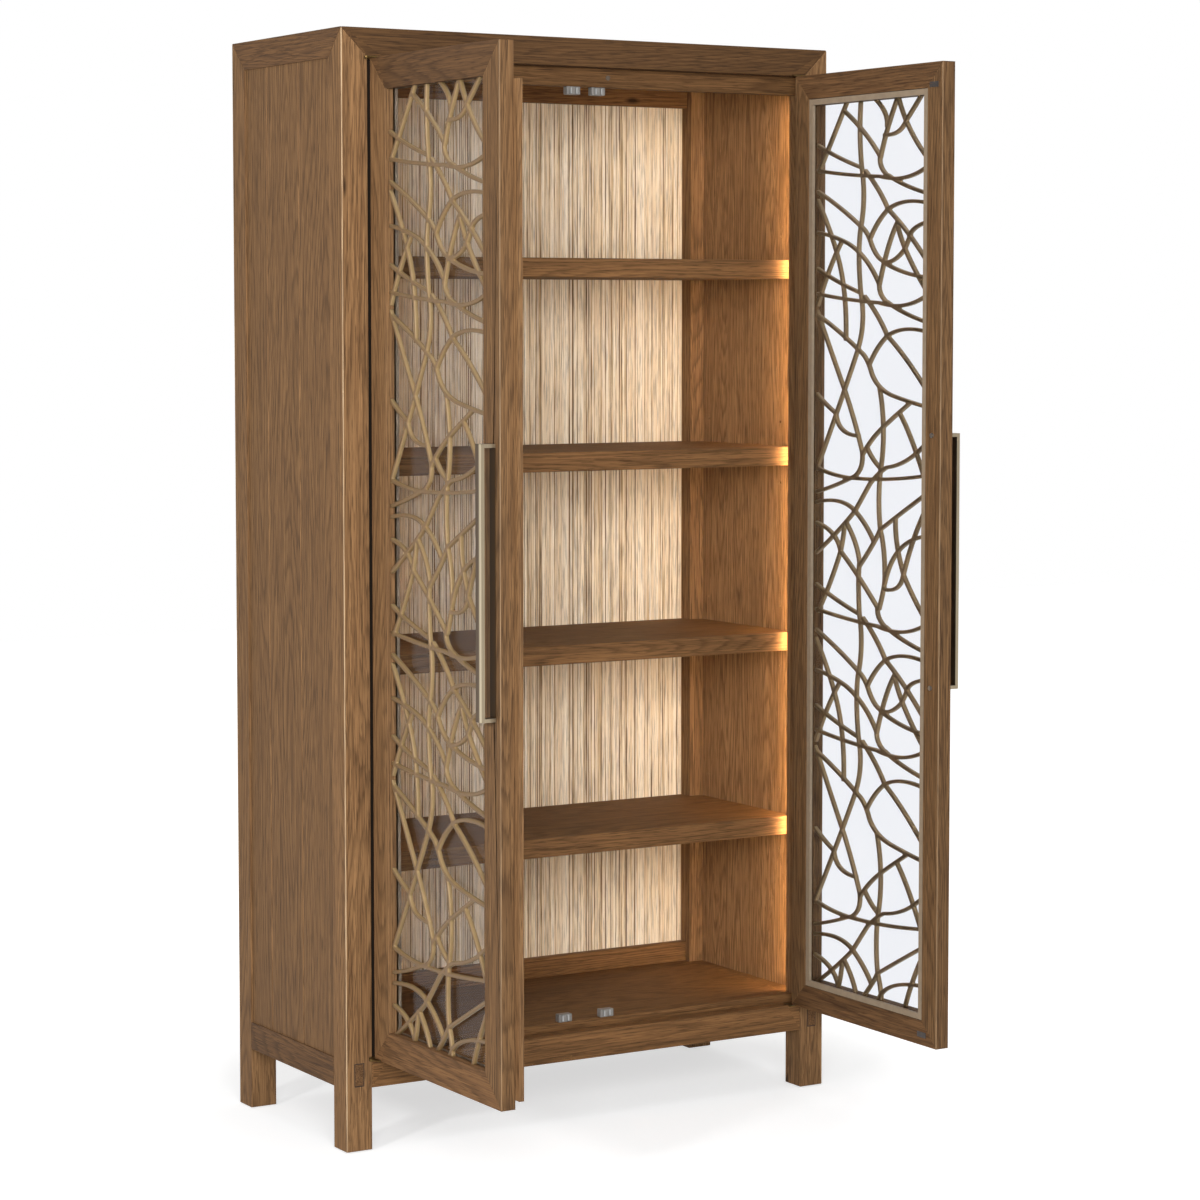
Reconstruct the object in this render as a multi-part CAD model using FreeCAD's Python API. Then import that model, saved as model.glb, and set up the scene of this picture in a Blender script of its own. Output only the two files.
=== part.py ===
import FreeCAD, Part
import math
import os

# Display cabinet: a mitred oak frame with plank sides, four loose shelves, a grasscloth back
# and two glazed doors faced with a twig lattice. Both doors stand open at a right angle.
# Millimetres; +Z up, +X to the right, +Y to the back. The origin is on the floor, midway
# between the four posts.

Vec = FreeCAD.Vector

# Overall size, over the posts
HEIGHT = 2032.0
WIDTH = 1050.0
DEPTH = 457.0

# Posts and rails
STOCK = 52.0
LOWER_RAIL_BOTTOM = 116.0
GLIDE_THICKNESS = 2.0
GLIDE_RADIUS = 12.0
TENON_WIDTH = 17.0
TENON_HEIGHT = 40.0
TENON_PROUD = 1.0
STUB_TENON_LENGTH = 13.0

# Panels in the frame
PANEL_RECESS = 4.0
SIDE_THICKNESS = 16.0
TOP_THICKNESS = 18.0
TONGUE_THICKNESS = 6.0
TONGUE_LENGTH = 8.0
GROOVE_CLEARANCE = 0.3
REAR_PLANK = 88.0
MIDDLE_PLANK = 134.0
VEE_DEPTH = 2.5

# Door stops: floor panel below, header above
DOOR_STOP_SETBACK = 30.0
FLOOR_THICKNESS = 16.0
FLOOR_SIDE_GAP = 0.5
HEADER_HEIGHT = 35.0

# Back
BACK_INSET = 20.0
BACK_THICKNESS = 6.0
BACK_LAP = 10.0
BACK_EDGE_GAP = 0.5
CLOTH_THICKNESS = 0.8
CROSS_RAIL_THICKNESS = 18.0
LOWER_CROSS_RAIL_HEIGHT = 40.0
UPPER_CROSS_RAIL_HEIGHT = 39.0
BACK_SCREWS_PER_POST = 5
BACK_SCREW_END_MARGIN = 80.0
BACK_SCREW_RADIUS = 2.0
BACK_SCREW_LENGTH = 22.0
BACK_SCREW_HEAD_RADIUS = 4.0
BACK_SCREW_HEAD_HEIGHT = 2.0

# Shelves and their pins
SHELF_COUNT = 4
LOWEST_SHELF_TOP = 530.0
TOP_SHELF_DROP = 404.0
SHELF_THICKNESS = 36.6
SHELF_SETBACK = 76.0
SHELF_END_GAP = 1.5
SHELF_BACK_GAP = 1.0
SHELF_POST_GAP = 1.5
PIN_RADIUS = 2.5
PIN_HOLE_DEPTH = 10.0
PIN_REACH = 7.5
PIN_WIDTH = 10.0
PIN_HEIGHT = 5.0
PIN_ROOF = 10.0
PIN_SLOT_DEPTH = 9.0
PIN_SLOT_FRONT_MARGIN = 20.0
PIN_HOLE_PITCH = 60.0
FRONT_PIN_SETBACK = 124.0
REAR_PIN_INSET = 74.0

# Door leaves
DOOR_THICKNESS = 28.0
DOOR_FRAME_WIDTH = 57.5
DOOR_HINGE_GAP = 2.5
DOOR_MEETING_GAP = 3.0
DOOR_TOP_GAP = 2.0
DOOR_BOTTOM_GAP = 3.5
LIP_THICKNESS = 17.0
REBATE_WIDTH = 12.0
GLASS_THICKNESS = 4.0
GLASS_EDGE_GAP = 1.0
BEAD_THICKNESS = 6.0
OPEN_ANGLE = 90.0

# Astragal on the back of the left door
ASTRAGAL_THICKNESS = 10.0
ASTRAGAL_SEAT = 14.0
ASTRAGAL_LAP = 12.0
ASTRAGAL_RUNNING_GAP = 0.5
ASTRAGAL_BOTTOM_GAP = 3.0
ASTRAGAL_TOP_GAP = 31.0

# Knife hinges: the pivot stands ahead of the door face and beside the opening
PIVOT_AHEAD = 3.75
PIVOT_BESIDE = 3.75
KNUCKLE_RADIUS = 3.5
HINGE_PIN_RADIUS = 1.75
HINGE_PIN_CLEARANCE = 0.2
HINGE_PIN_TAIL = 1.0
LEAF_THICKNESS = 1.6
LEAF_LENGTH = 24.0
LEAF_REACH = 20.0
LEAF_INSET = 2.0
BOSS_GAP = 0.3

# Bar pulls
PULL_HEIGHT = 470.0
PULL_WIDTH = 20.0
PULL_BAR = 6.5
PULL_STANDOFF = 28.0
PULL_EDGE = 25.0
PULL_CENTRE = 1070.0
PULL_SCREW_RADIUS = 2.0
PULL_SCREW_CLEARANCE = 0.1
PULL_SCREW_BITE = 14.0
PULL_SCREW_HEAD_RADIUS = 4.5
PULL_SCREW_HEAD_HEIGHT = 2.5

# Magnetic catches and their strike plates
CATCH_WIDTH = 29.0
CATCH_HEIGHT = 15.0
CATCH_DEPTH = 14.0
UPPER_CATCH_X = 27.0
LOWER_CATCH_X = 46.0
POLE_WIDTH = 3.0
POLE_HEIGHT = 11.0
POLE_DEPTH = 12.0
POLE_PROUD = 0.8
POLE_SPREAD = 12.0
STRIKE_WIDTH = 26.0
STRIKE_HEIGHT = 10.0
STRIKE_THICKNESS = 0.8

# Light strips behind the front posts, their driver and the door sensor
CHANNEL_WIDTH = 16.0
CHANNEL_DEPTH = 8.0
CHANNEL_WALL = 1.5
CHANNEL_POST_INSET = 7.0
CHANNEL_BOTTOM_GAP = 16.0
CHANNEL_TOP_GAP = 5.0
TAPE_WIDTH = 10.0
TAPE_THICKNESS = 1.0
DIFFUSER_THICKNESS = 1.5
DRIVER_LENGTH = 140.0
DRIVER_DEPTH = 20.0
DRIVER_HEIGHT = 26.0
DRIVER_DROP = 4.0
LEAD_RADIUS = 2.0
LEAD_BEND = 12.0
LEAD_STANDOFF = 4.0
CLIP_SIZE = 8.0
CLIP_CLEARANCE = 0.1
CLIPS_PER_LEAD = 3
SENSOR_X = 47.0
SENSOR_DROP = 17.0
SENSOR_RADIUS = 4.0
SENSOR_FLANGE_RADIUS = 4.75
SENSOR_FLANGE = 0.8

# Lattice: strands of even width in front of the glass, drawn on one leaf from its hinge side
# (across) and from the top (down). Each strand is an even bend through three points, which
# keeps its crossings when the door is stretched. The row of strands repeats once within the
# tile, the tile repeats down the door, and the top, the seam and the foot have strands of
# their own.
STRAND_WIDTH = 7.0
STRAND_DEPTH = 9.0
STRAND_RECESS = 7.0
DRAWN_WIDTH = 354.0
DRAWN_HEIGHT = 1691.5
TILE_HEIGHT = 842.0
TILE_COUNT = 2
ROW_HEIGHT = 235.0
ROW_COUNT = 2

ROW_STRANDS = (
    ((-25, 121), (85, 134), (200, 142)),
    ((200, 142), (285, 146), (362, 122)),
    ((-24, 65), (47, 95), (142, 124)),
    ((152, 129), (194, 166), (226, 204)),
    ((226, 204), (292, 252), (362, 316)),
    ((200, 103), (204, 125), (227, 143)),
    ((224, 140), (283, 162), (362, 181)),
    ((-24, 155), (59, 191), (139, 233)),
    ((139, 233), (160, 248), (176, 272)),
    ((362, 198), (287, 191), (227, 203)),
    ((227, 203), (195, 227), (168, 259)),
)

TOP_STRANDS = (
    ((98, -9), (47, 64), (1, 128)),
    ((82, 14), (147, 57), (200, 105)),
    ((138, -8), (135, 59), (141, 122)),
    ((172, -9), (212, 22), (221, 52)),
    ((258, -8), (224, 52), (201, 108)),
    ((253, -9), (294, 61), (362, 126)),
    ((334, -8), (306, 19), (281, 42)),
    ((281, 42), (255, 62), (212, 66)),
)

TILE_STRANDS = (
    # twigs among the two rows
    ((141, 122), (148, 182), (138, 240)),
    ((138, 240), (134, 292), (140, 356)),
    ((140, 356), (147, 410), (134, 460)),
    ((172, 265), (218, 301), (277, 280)),
    ((277, 280), (290, 262), (297, 250)),
    ((292, 257), (313, 239), (362, 228)),
    ((256, 228), (226, 276), (199, 346)),
    ((255, 231), (290, 292), (362, 371)),
    ((211, 301), (282, 322), (362, 332)),
    ((-24, 240), (40, 249), (99, 265)),
    ((99, 265), (156, 297), (201, 345)),
    ((-20, 157), (30, 227), (63, 285)),
    ((63, 285), (87, 359), (93, 449)),
    ((81, 257), (39, 312), (-1, 382)),
    # long twigs below the rows
    ((135, 460), (69, 577), (-3, 698)),
    ((-24, 356), (45, 470), (94, 549)),
    ((94, 549), (124, 605), (148, 658)),
    ((148, 658), (142, 690), (112, 709)),
    ((176, 508), (206, 536), (255, 552)),
    ((255, 552), (304, 561), (362, 570)),
    ((-24, 535), (20, 565), (62, 587)),
    ((62, 587), (84, 618), (139, 628)),
    ((202, 535), (215, 615), (206, 694)),
    ((206, 694), (202, 748), (207, 802)),
    ((207, 802), (219, 844), (222, 899)),
    ((300, 561), (249, 589), (206, 614)),
    ((206, 614), (175, 637), (149, 663)),
    ((263, 579), (309, 639), (362, 734)),
    ((362, 624), (297, 665), (226, 684)),
    ((226, 684), (199, 698), (172, 718)),
    ((172, 718), (148, 745), (125, 771)),
    ((125, 771), (56, 821), (-23, 870)),
    ((-21, 685), (30, 700), (99, 708)),
    ((99, 708), (226, 706), (362, 693)),
    ((-24, 744), (47, 728), (119, 706)),
    ((162, 648), (183, 670), (208, 687)),
    ((-25, 764), (63, 754), (125, 770)),
    ((125, 770), (161, 797), (188, 827)),
    ((362, 722), (283, 762), (206, 802)),
    ((206, 802), (184, 830), (141, 874)),
    ((-24, 796), (46, 814), (79, 850)),
    ((92, 796), (87, 823), (79, 850)),
    ((95, 792), (126, 830), (141, 868)),
)

# Strands where the second tile meets the first, from the second tile's top
SEAM_STRANDS = (
    ((79, 8), (137, 52), (204, 111)),
    ((79, 8), (43, 73), (4, 130)),
    ((141, 26), (138, 64), (141, 122)),
    ((222, 57), (216, 79), (204, 111)),
    ((255, -64), (260, -16), (281, 39)),
    ((362, -103), (316, -36), (281, 39)),
    ((362, -37), (272, -9), (222, 60)),
    ((281, 39), (261, 65), (219, 71)),
    ((281, 39), (314, 81), (362, 131)),
)

# Strands at the foot of the last tile, from its top
FOOT_STRANDS = (
    ((362, 724), (318, 797), (290, 864)),
    ((362, 801), (260, 816), (209, 852)),
)

# Places worked out from the sizes
FRONT = -DEPTH / 2
BACK = DEPTH / 2
HALF_WIDTH = WIDTH / 2
INNER_X = HALF_WIDTH - STOCK
PANEL_INNER_X = HALF_WIDTH - PANEL_RECESS - SIDE_THICKNESS
LOWER_RAIL_TOP = LOWER_RAIL_BOTTOM + STOCK
TOP_RAIL_BOTTOM = HEIGHT - STOCK
FLOOR_TOP = LOWER_RAIL_TOP + FLOOR_THICKNESS
HEADER_BOTTOM = TOP_RAIL_BOTTOM - HEADER_HEIGHT
BEHIND_POST = FRONT + STOCK
BEFORE_REAR_POST = BACK - STOCK
BACK_FACE = BACK - BACK_INSET
STOP_FACE = FRONT + DOOR_STOP_SETBACK
ROWS = {"front": (FRONT, BEHIND_POST), "back": (BEFORE_REAR_POST, BACK)}
SENSOR_HEIGHT = TOP_RAIL_BOTTOM - SENSOR_DROP

HINGE_EDGE = -INNER_X + DOOR_HINGE_GAP
MEETING_EDGE = -DOOR_MEETING_GAP / 2
DOOR_BOTTOM = LOWER_RAIL_TOP + DOOR_BOTTOM_GAP
DOOR_TOP = TOP_RAIL_BOTTOM - DOOR_TOP_GAP
DOOR_BACK = FRONT + DOOR_THICKNESS
LEAF_X = (HINGE_EDGE, MEETING_EDGE)
LEAF_Z = (DOOR_BOTTOM, DOOR_TOP)
PIVOT = Vec(-INNER_X - PIVOT_BESIDE, FRONT - PIVOT_AHEAD, 0)
BACK_FRAME_WIDTH = DOOR_FRAME_WIDTH - REBATE_WIDTH

UP = Vec(0, 0, 1)
RIGHTWARD = Vec(1, 0, 0)
REARWARD = Vec(0, 1, 0)

pieces = {}


def add(node, *shapes):
    """Put solids into a named piece."""
    pieces.setdefault(node, []).extend(shapes)


def box(across, deep, high):
    """Block between a low and a high value on each axis."""
    sizes = [pair[1] - pair[0] for pair in (across, deep, high)]
    return Part.makeBox(*sizes, Vec(across[0], deep[0], high[0]))


def rod(start, radius, length, direction):
    return Part.makeCylinder(radius, length, start, direction)


def prism(points, path):
    """Flat polygon drawn out along a path."""
    return Part.Face(Part.makePolygon(points + points[:1])).extrude(path)


def mirrored(shape):
    """The same piece on the other side of the cabinet."""
    return shape.mirror(Vec(0, 0, 0), RIGHTWARD)


def cut_by(shape, cutters):
    return shape.cut(Part.makeCompound(cutters))


def around(middle, width):
    """Low and high value of a width set evenly about a middle."""
    return (middle - width / 2, middle + width / 2)


def grown(span, amount):
    return (span[0] - amount, span[1] + amount)


def post_corners():
    """The four corners of the plan that the posts fill."""
    right = [box((INNER_X, HALF_WIDTH), y_span, (0, HEIGHT)) for y_span in ROWS.values()]
    return right + [mirrored(corner) for corner in right]


def mitre_wedges(x_sign, y_sign, run):
    """The two wedges that a member running along one axis gives up in a three-way mitre."""
    corner = Vec(x_sign * HALF_WIDTH, y_sign * BACK, HEIGHT)
    inward = {"x": Vec(-x_sign, 0, 0), "y": Vec(0, -y_sign, 0), "z": Vec(0, 0, -1)}
    wedges = []
    for across in inward:
        if across == run:
            continue
        third = next(axis for axis in inward if axis not in (across, run))
        side = corner + inward[across] * STOCK
        far = side + inward[run] * STOCK
        wedges.append(prism([corner, side, far], inward[third] * STOCK))
    return wedges


# Panels that slide into grooves of the frame: a slab with a tongue all round
def side_panel_spans():
    slab_x = (PANEL_INNER_X, HALF_WIDTH - PANEL_RECESS)
    slab_y = (BEHIND_POST, BEFORE_REAR_POST)
    slab_z = (LOWER_RAIL_TOP, TOP_RAIL_BOTTOM)
    tongue_x = around(sum(slab_x) / 2, TONGUE_THICKNESS)
    return slab_x, slab_y, slab_z, tongue_x


def side_groove():
    slab_x, slab_y, slab_z, tongue_x = side_panel_spans()
    reach = TONGUE_LENGTH + GROOVE_CLEARANCE
    return box(grown(tongue_x, GROOVE_CLEARANCE), grown(slab_y, reach), grown(slab_z, reach))


def top_panel_spans():
    slab_x = (-INNER_X, INNER_X)
    slab_y = (BEHIND_POST, BEFORE_REAR_POST)
    slab_z = (HEIGHT - PANEL_RECESS - TOP_THICKNESS, HEIGHT - PANEL_RECESS)
    tongue_z = around(sum(slab_z) / 2, TONGUE_THICKNESS)
    return slab_x, slab_y, slab_z, tongue_z


def top_groove():
    slab_x, slab_y, slab_z, tongue_z = top_panel_spans()
    reach = TONGUE_LENGTH + GROOVE_CLEARANCE
    return box(grown(slab_x, reach), grown(slab_y, reach), grown(tongue_z, GROOVE_CLEARANCE))


# Lower rail tenons
TENON_Z = around(LOWER_RAIL_BOTTOM + STOCK / 2, TENON_HEIGHT)


def side_tenon():
    """Tenon of the right lower rail, through both right posts and proud of the front one."""
    middle_x = HALF_WIDTH - STOCK / 2
    return box(around(middle_x, TENON_WIDTH), (FRONT - TENON_PROUD, BACK), TENON_Z)


def stub_tenons(y_span):
    """Tenon at both ends of the front or back lower rail."""
    reach = INNER_X + STUB_TENON_LENGTH
    return box((-reach, reach), around(sum(y_span) / 2, TENON_WIDTH), TENON_Z)


# Back screws stand in the rebates of the rear posts
def back_screw_heights():
    low = LOWER_RAIL_TOP + BACK_SCREW_END_MARGIN
    step = (TOP_RAIL_BOTTOM - BACK_SCREW_END_MARGIN - low) / (BACK_SCREWS_PER_POST - 1)
    return [low + step * index for index in range(BACK_SCREWS_PER_POST)]


def back_screw(x, z):
    rear = BACK_FACE + BACK_THICKNESS
    head = rod(Vec(x, rear, z), BACK_SCREW_HEAD_RADIUS, BACK_SCREW_HEAD_HEIGHT, REARWARD)
    shank = rod(Vec(x, rear, z), BACK_SCREW_RADIUS, BACK_SCREW_LENGTH, -REARWARD)
    return head.fuse(shank)


def right_back_screws():
    x = INNER_X + BACK_LAP / 2
    return [back_screw(x, z) for z in back_screw_heights()]


def make_posts():
    rebate = box((INNER_X, INNER_X + BACK_LAP), (BACK_FACE, BACK), (LOWER_RAIL_TOP, TOP_RAIL_BOTTOM))
    for row, y_span in ROWS.items():
        y_sign = -1 if row == "front" else 1
        post = box((INNER_X, HALF_WIDTH), y_span, (GLIDE_THICKNESS, HEIGHT))
        cutters = mitre_wedges(1, y_sign, "z")
        cutters += [side_groove(), top_groove(), side_tenon(), stub_tenons(y_span)]
        if row == "back":
            cutters += [rebate] + right_back_screws()
        post = cut_by(post, cutters)
        add(row + "_right_post", post)
        add(row + "_left_post", mirrored(post))
        glide_at = Vec(HALF_WIDTH - STOCK / 2, sum(y_span) / 2, 0)
        glide = rod(glide_at, GLIDE_RADIUS, GLIDE_THICKNESS, UP)
        add("foot_glides", glide, mirrored(glide))


def make_top_rails():
    high = (TOP_RAIL_BOTTOM, HEIGHT)
    grooves = [top_groove(), side_groove(), mirrored(side_groove())]
    for row, y_span in ROWS.items():
        y_sign = -1 if row == "front" else 1
        cutters = mitre_wedges(1, y_sign, "x") + mitre_wedges(-1, y_sign, "x") + grooves
        if row == "front":
            cutters += [fixed_leaf(True), mirrored(fixed_leaf(True))]
        add(row + "_top_rail", cut_by(box((-HALF_WIDTH, HALF_WIDTH), y_span, high), cutters))
    cutters = mitre_wedges(1, -1, "y") + mitre_wedges(1, 1, "y") + grooves
    side = cut_by(box((INNER_X, HALF_WIDTH), (FRONT, BACK), high), cutters)
    add("right_top_rail", side)
    add("left_top_rail", mirrored(side))


def make_lower_rails():
    high = (LOWER_RAIL_BOTTOM, LOWER_RAIL_TOP)
    for row, y_span in ROWS.items():
        rail = box((-INNER_X, INNER_X), y_span, high).fuse(stub_tenons(y_span)).removeSplitter()
        if row == "front":
            rail = cut_by(rail, [fixed_leaf(False), mirrored(fixed_leaf(False))])
        add(row + "_lower_rail", rail)
    side = box((INNER_X, HALF_WIDTH), (BEHIND_POST, BEFORE_REAR_POST), high)
    side = side.fuse(side_tenon()).removeSplitter().cut(side_groove())
    add("right_lower_rail", side)
    add("left_lower_rail", mirrored(side))


def shelf_tops():
    pitch = (HEIGHT - TOP_SHELF_DROP - LOWEST_SHELF_TOP) / (SHELF_COUNT - 1)
    return [LOWEST_SHELF_TOP + pitch * index for index in range(SHELF_COUNT)]


def pin_places():
    """Depth and height of the pins in use on one side of the cabinet."""
    for top in shelf_tops():
        for y in (FRONT + FRONT_PIN_SETBACK, BACK - REAR_PIN_INSET):
            yield y, top - PIN_ROOF - PIN_HEIGHT / 2


def make_side_panels():
    slab_x, slab_y, slab_z, tongue_x = side_panel_spans()
    slab = box(slab_x, slab_y, slab_z)
    tongue = box(tongue_x, grown(slab_y, TONGUE_LENGTH), grown(slab_z, TONGUE_LENGTH))
    panel = slab.fuse(tongue)
    holes = []
    for y, z in pin_places():
        for step in (-1, 0, 1):
            start = Vec(PANEL_INNER_X, y, z + step * PIN_HOLE_PITCH)
            holes.append(rod(start, PIN_RADIUS, PIN_HOLE_DEPTH, RIGHTWARD))
    panel = cut_by(panel, holes)
    joints = [BEFORE_REAR_POST - REAR_PLANK, BEFORE_REAR_POST - REAR_PLANK - MIDDLE_PLANK]
    outer_x = slab_x[1]
    for y in joints:
        mouth = [Vec(outer_x, y - VEE_DEPTH, slab_z[0]), Vec(outer_x, y + VEE_DEPTH, slab_z[0])]
        bottom = Vec(outer_x - VEE_DEPTH, y, slab_z[0])
        panel = panel.cut(prism(mouth + [bottom], UP * (slab_z[1] - slab_z[0])))
    edges = [slab_y[1] + STOCK] + joints + [slab_y[0] - STOCK]
    for rear, front in zip(edges, edges[1:]):
        plank = panel.common(box(grown(slab_x, STOCK), (front, rear), (0, HEIGHT))).removeSplitter()
        add("right_side_planks", *plank.Solids)
        add("left_side_planks", *mirrored(plank).Solids)


def make_top_panel():
    slab_x, slab_y, slab_z, tongue_z = top_panel_spans()
    tongue = box(grown(slab_x, TONGUE_LENGTH), grown(slab_y, TONGUE_LENGTH), tongue_z)
    tongue = cut_by(tongue, post_corners())
    add("top_panel", box(slab_x, slab_y, slab_z).fuse(tongue).removeSplitter())


def make_floor_and_header():
    reach = PANEL_INNER_X - FLOOR_SIDE_GAP
    floor = box((-reach, reach), (STOP_FACE, BACK_FACE), (LOWER_RAIL_TOP, FLOOR_TOP))
    add("floor_panel", cut_by(floor, post_corners()))
    header = box((-INNER_X, INNER_X), (STOP_FACE, BEHIND_POST), (HEADER_BOTTOM, TOP_RAIL_BOTTOM))
    sensor_hole = rod(Vec(SENSOR_X, STOP_FACE, SENSOR_HEIGHT), SENSOR_RADIUS, STOCK, REARWARD)
    add("header", header.cut(sensor_hole))


def make_back():
    reach = INNER_X + BACK_LAP - BACK_EDGE_GAP
    high = grown((LOWER_RAIL_TOP, TOP_RAIL_BOTTOM), -BACK_EDGE_GAP)
    panel = box((-reach, reach), (BACK_FACE, BACK_FACE + BACK_THICKNESS), high)
    screws = right_back_screws()
    screws += [mirrored(screw) for screw in screws]
    add("back_panel", cut_by(panel, screws))
    add("back_screws", *screws)
    lower = (FLOOR_TOP, FLOOR_TOP + LOWER_CROSS_RAIL_HEIGHT)
    upper = (TOP_RAIL_BOTTOM - UPPER_CROSS_RAIL_HEIGHT, TOP_RAIL_BOTTOM)
    rail_y = (BACK_FACE - CROSS_RAIL_THICKNESS, BACK_FACE)
    add("back_cross_rails", *[box((-INNER_X, INNER_X), rail_y, span) for span in (lower, upper)])
    cloth_y = (BACK_FACE - CLOTH_THICKNESS, BACK_FACE)
    add("back_grasscloth", box((-INNER_X, INNER_X), cloth_y, (lower[1], upper[0])))


def make_shelves():
    end = PANEL_INNER_X - SHELF_END_GAP
    shelf_y = (FRONT + SHELF_SETBACK, BACK_FACE - CLOTH_THICKNESS - SHELF_BACK_GAP)
    post_x = (INNER_X - SHELF_POST_GAP, HALF_WIDTH)
    post_y = (BEFORE_REAR_POST - SHELF_POST_GAP, BACK)
    for number, top in enumerate(shelf_tops(), start=1):
        shelf = box((-end, end), shelf_y, (top - SHELF_THICKNESS, top))
        notch = box(post_x, post_y, (top - STOCK, top + STOCK))
        slot_y = (shelf_y[0] + PIN_SLOT_FRONT_MARGIN, BACK)
        slot = box((end - PIN_SLOT_DEPTH, HALF_WIDTH), slot_y, (top - STOCK, top - PIN_ROOF))
        add("shelf_%d" % number, cut_by(shelf, [notch, slot, mirrored(notch), mirrored(slot)]))


def make_shelf_pins():
    for y, z in pin_places():
        shank = rod(Vec(PANEL_INNER_X, y, z), PIN_RADIUS, PIN_HOLE_DEPTH, RIGHTWARD)
        paddle_x = (PANEL_INNER_X - PIN_REACH, PANEL_INNER_X)
        pin = shank.fuse(box(paddle_x, around(y, PIN_WIDTH), around(z, PIN_HEIGHT)))
        add("shelf_pins", pin, mirrored(pin))


def make_lights():
    x_span = (INNER_X + CHANNEL_POST_INSET, INNER_X + CHANNEL_POST_INSET + CHANNEL_WIDTH)
    y_span = (BEHIND_POST, BEHIND_POST + CHANNEL_DEPTH)
    z_span = (FLOOR_TOP + CHANNEL_BOTTOM_GAP, HEADER_BOTTOM - CHANNEL_TOP_GAP)
    inside_x = grown(x_span, -CHANNEL_WALL)
    inside_y = (y_span[0] + CHANNEL_WALL, y_span[1])
    channel = box(x_span, y_span, z_span).cut(box(inside_x, inside_y, z_span))
    diffuser = box(inside_x, (y_span[1] - DIFFUSER_THICKNESS, y_span[1]), z_span)
    tape_y = (inside_y[0], inside_y[0] + TAPE_THICKNESS)
    tape = box(around(sum(x_span) / 2, TAPE_WIDTH), tape_y, z_span)
    add("led_channels", channel, mirrored(channel))
    add("led_diffusers", diffuser, mirrored(diffuser))
    add("led_tapes", tape, mirrored(tape))

    driver_z = (TOP_RAIL_BOTTOM - DRIVER_DROP - DRIVER_HEIGHT, TOP_RAIL_BOTTOM - DRIVER_DROP)
    driver_y = (BEHIND_POST, BEHIND_POST + DRIVER_DEPTH)
    add("led_driver", box(around(0, DRIVER_LENGTH), driver_y, driver_z))

    lead_y = BEHIND_POST + LEAD_STANDOFF
    lead_z = sum(driver_z) / 2
    start = Vec(DRIVER_LENGTH / 2, lead_y, lead_z)
    bend_start = Vec(sum(x_span) / 2 - LEAD_BEND, lead_y, lead_z)
    turn = LEAD_BEND * math.sqrt(0.5)
    bend_middle = bend_start + Vec(turn, 0, turn - LEAD_BEND)
    bend_end = bend_start + Vec(LEAD_BEND, 0, -LEAD_BEND)
    end = Vec(bend_end.x, lead_y, z_span[1])
    route = Part.Wire([Part.LineSegment(start, bend_start).toShape(),
                       Part.Arc(bend_start, bend_middle, bend_end).toShape(),
                       Part.LineSegment(bend_end, end).toShape()])
    section = Part.Wire(Part.Circle(start, RIGHTWARD, LEAD_RADIUS).toShape())
    lead = route.makePipeShell([section], True, False)
    add("led_leads", lead, mirrored(lead))

    run = bend_start.x - start.x
    for index in range(CLIPS_PER_LEAD):
        middle = start.x + run * (index + 0.5) / CLIPS_PER_LEAD
        clip_x = around(middle, CLIP_SIZE)
        clip_y = (BEHIND_POST, BEHIND_POST + CLIP_SIZE)
        clip = box(clip_x, clip_y, around(lead_z, CLIP_SIZE))
        bore = rod(Vec(clip_x[0], lead_y, lead_z), LEAD_RADIUS + CLIP_CLEARANCE, CLIP_SIZE, RIGHTWARD)
        clip = clip.cut(bore)
        add("lead_clips", clip, mirrored(clip))

    face = Vec(SENSOR_X, STOP_FACE, SENSOR_HEIGHT)
    barrel = rod(face, SENSOR_RADIUS, BEHIND_POST - STOP_FACE, REARWARD)
    flange = rod(face, SENSOR_FLANGE_RADIUS, SENSOR_FLANGE, -REARWARD)
    add("door_sensor", barrel.fuse(flange))


# Magnetic catches: x and height of the middle of each one on the right-hand half
def catch_places():
    return ((UPPER_CATCH_X, HEADER_BOTTOM - CATCH_HEIGHT / 2),
            (LOWER_CATCH_X, FLOOR_TOP + CATCH_HEIGHT / 2))


def make_catches():
    for x, z in catch_places():
        body = box(around(x, CATCH_WIDTH), (STOP_FACE, STOP_FACE + CATCH_DEPTH), around(z, CATCH_HEIGHT))
        poles = []
        for side in (-1, 1):
            pole_x = around(x + side * POLE_SPREAD / 2, POLE_WIDTH)
            pole_y = (STOP_FACE - POLE_PROUD, STOP_FACE - POLE_PROUD + POLE_DEPTH)
            poles.append(box(pole_x, pole_y, around(z, POLE_HEIGHT)))
        body = cut_by(body, poles)
        add("catch_bodies", body, mirrored(body))
        for pole in poles:
            add("catch_poles", pole, mirrored(pole))


# Knife hinges of the left door, in its closed place
def leaf_plan(z_span):
    """Leaf let into an edge, with an arm that reaches forward to the knuckle on the pivot."""
    leaf_x = (HINGE_EDGE + LEAF_INSET, HINGE_EDGE + LEAF_INSET + LEAF_LENGTH)
    arm_y = around(PIVOT.y, 2 * KNUCKLE_RADIUS)
    leaf = box(leaf_x, (arm_y[0], FRONT + LEAF_REACH), z_span)
    arm = box((PIVOT.x, leaf_x[0]), arm_y, z_span)
    knuckle = rod(Vec(PIVOT.x, PIVOT.y, z_span[0]), KNUCKLE_RADIUS, z_span[1] - z_span[0], UP)
    return leaf.fuse([arm, knuckle]).removeSplitter()


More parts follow.
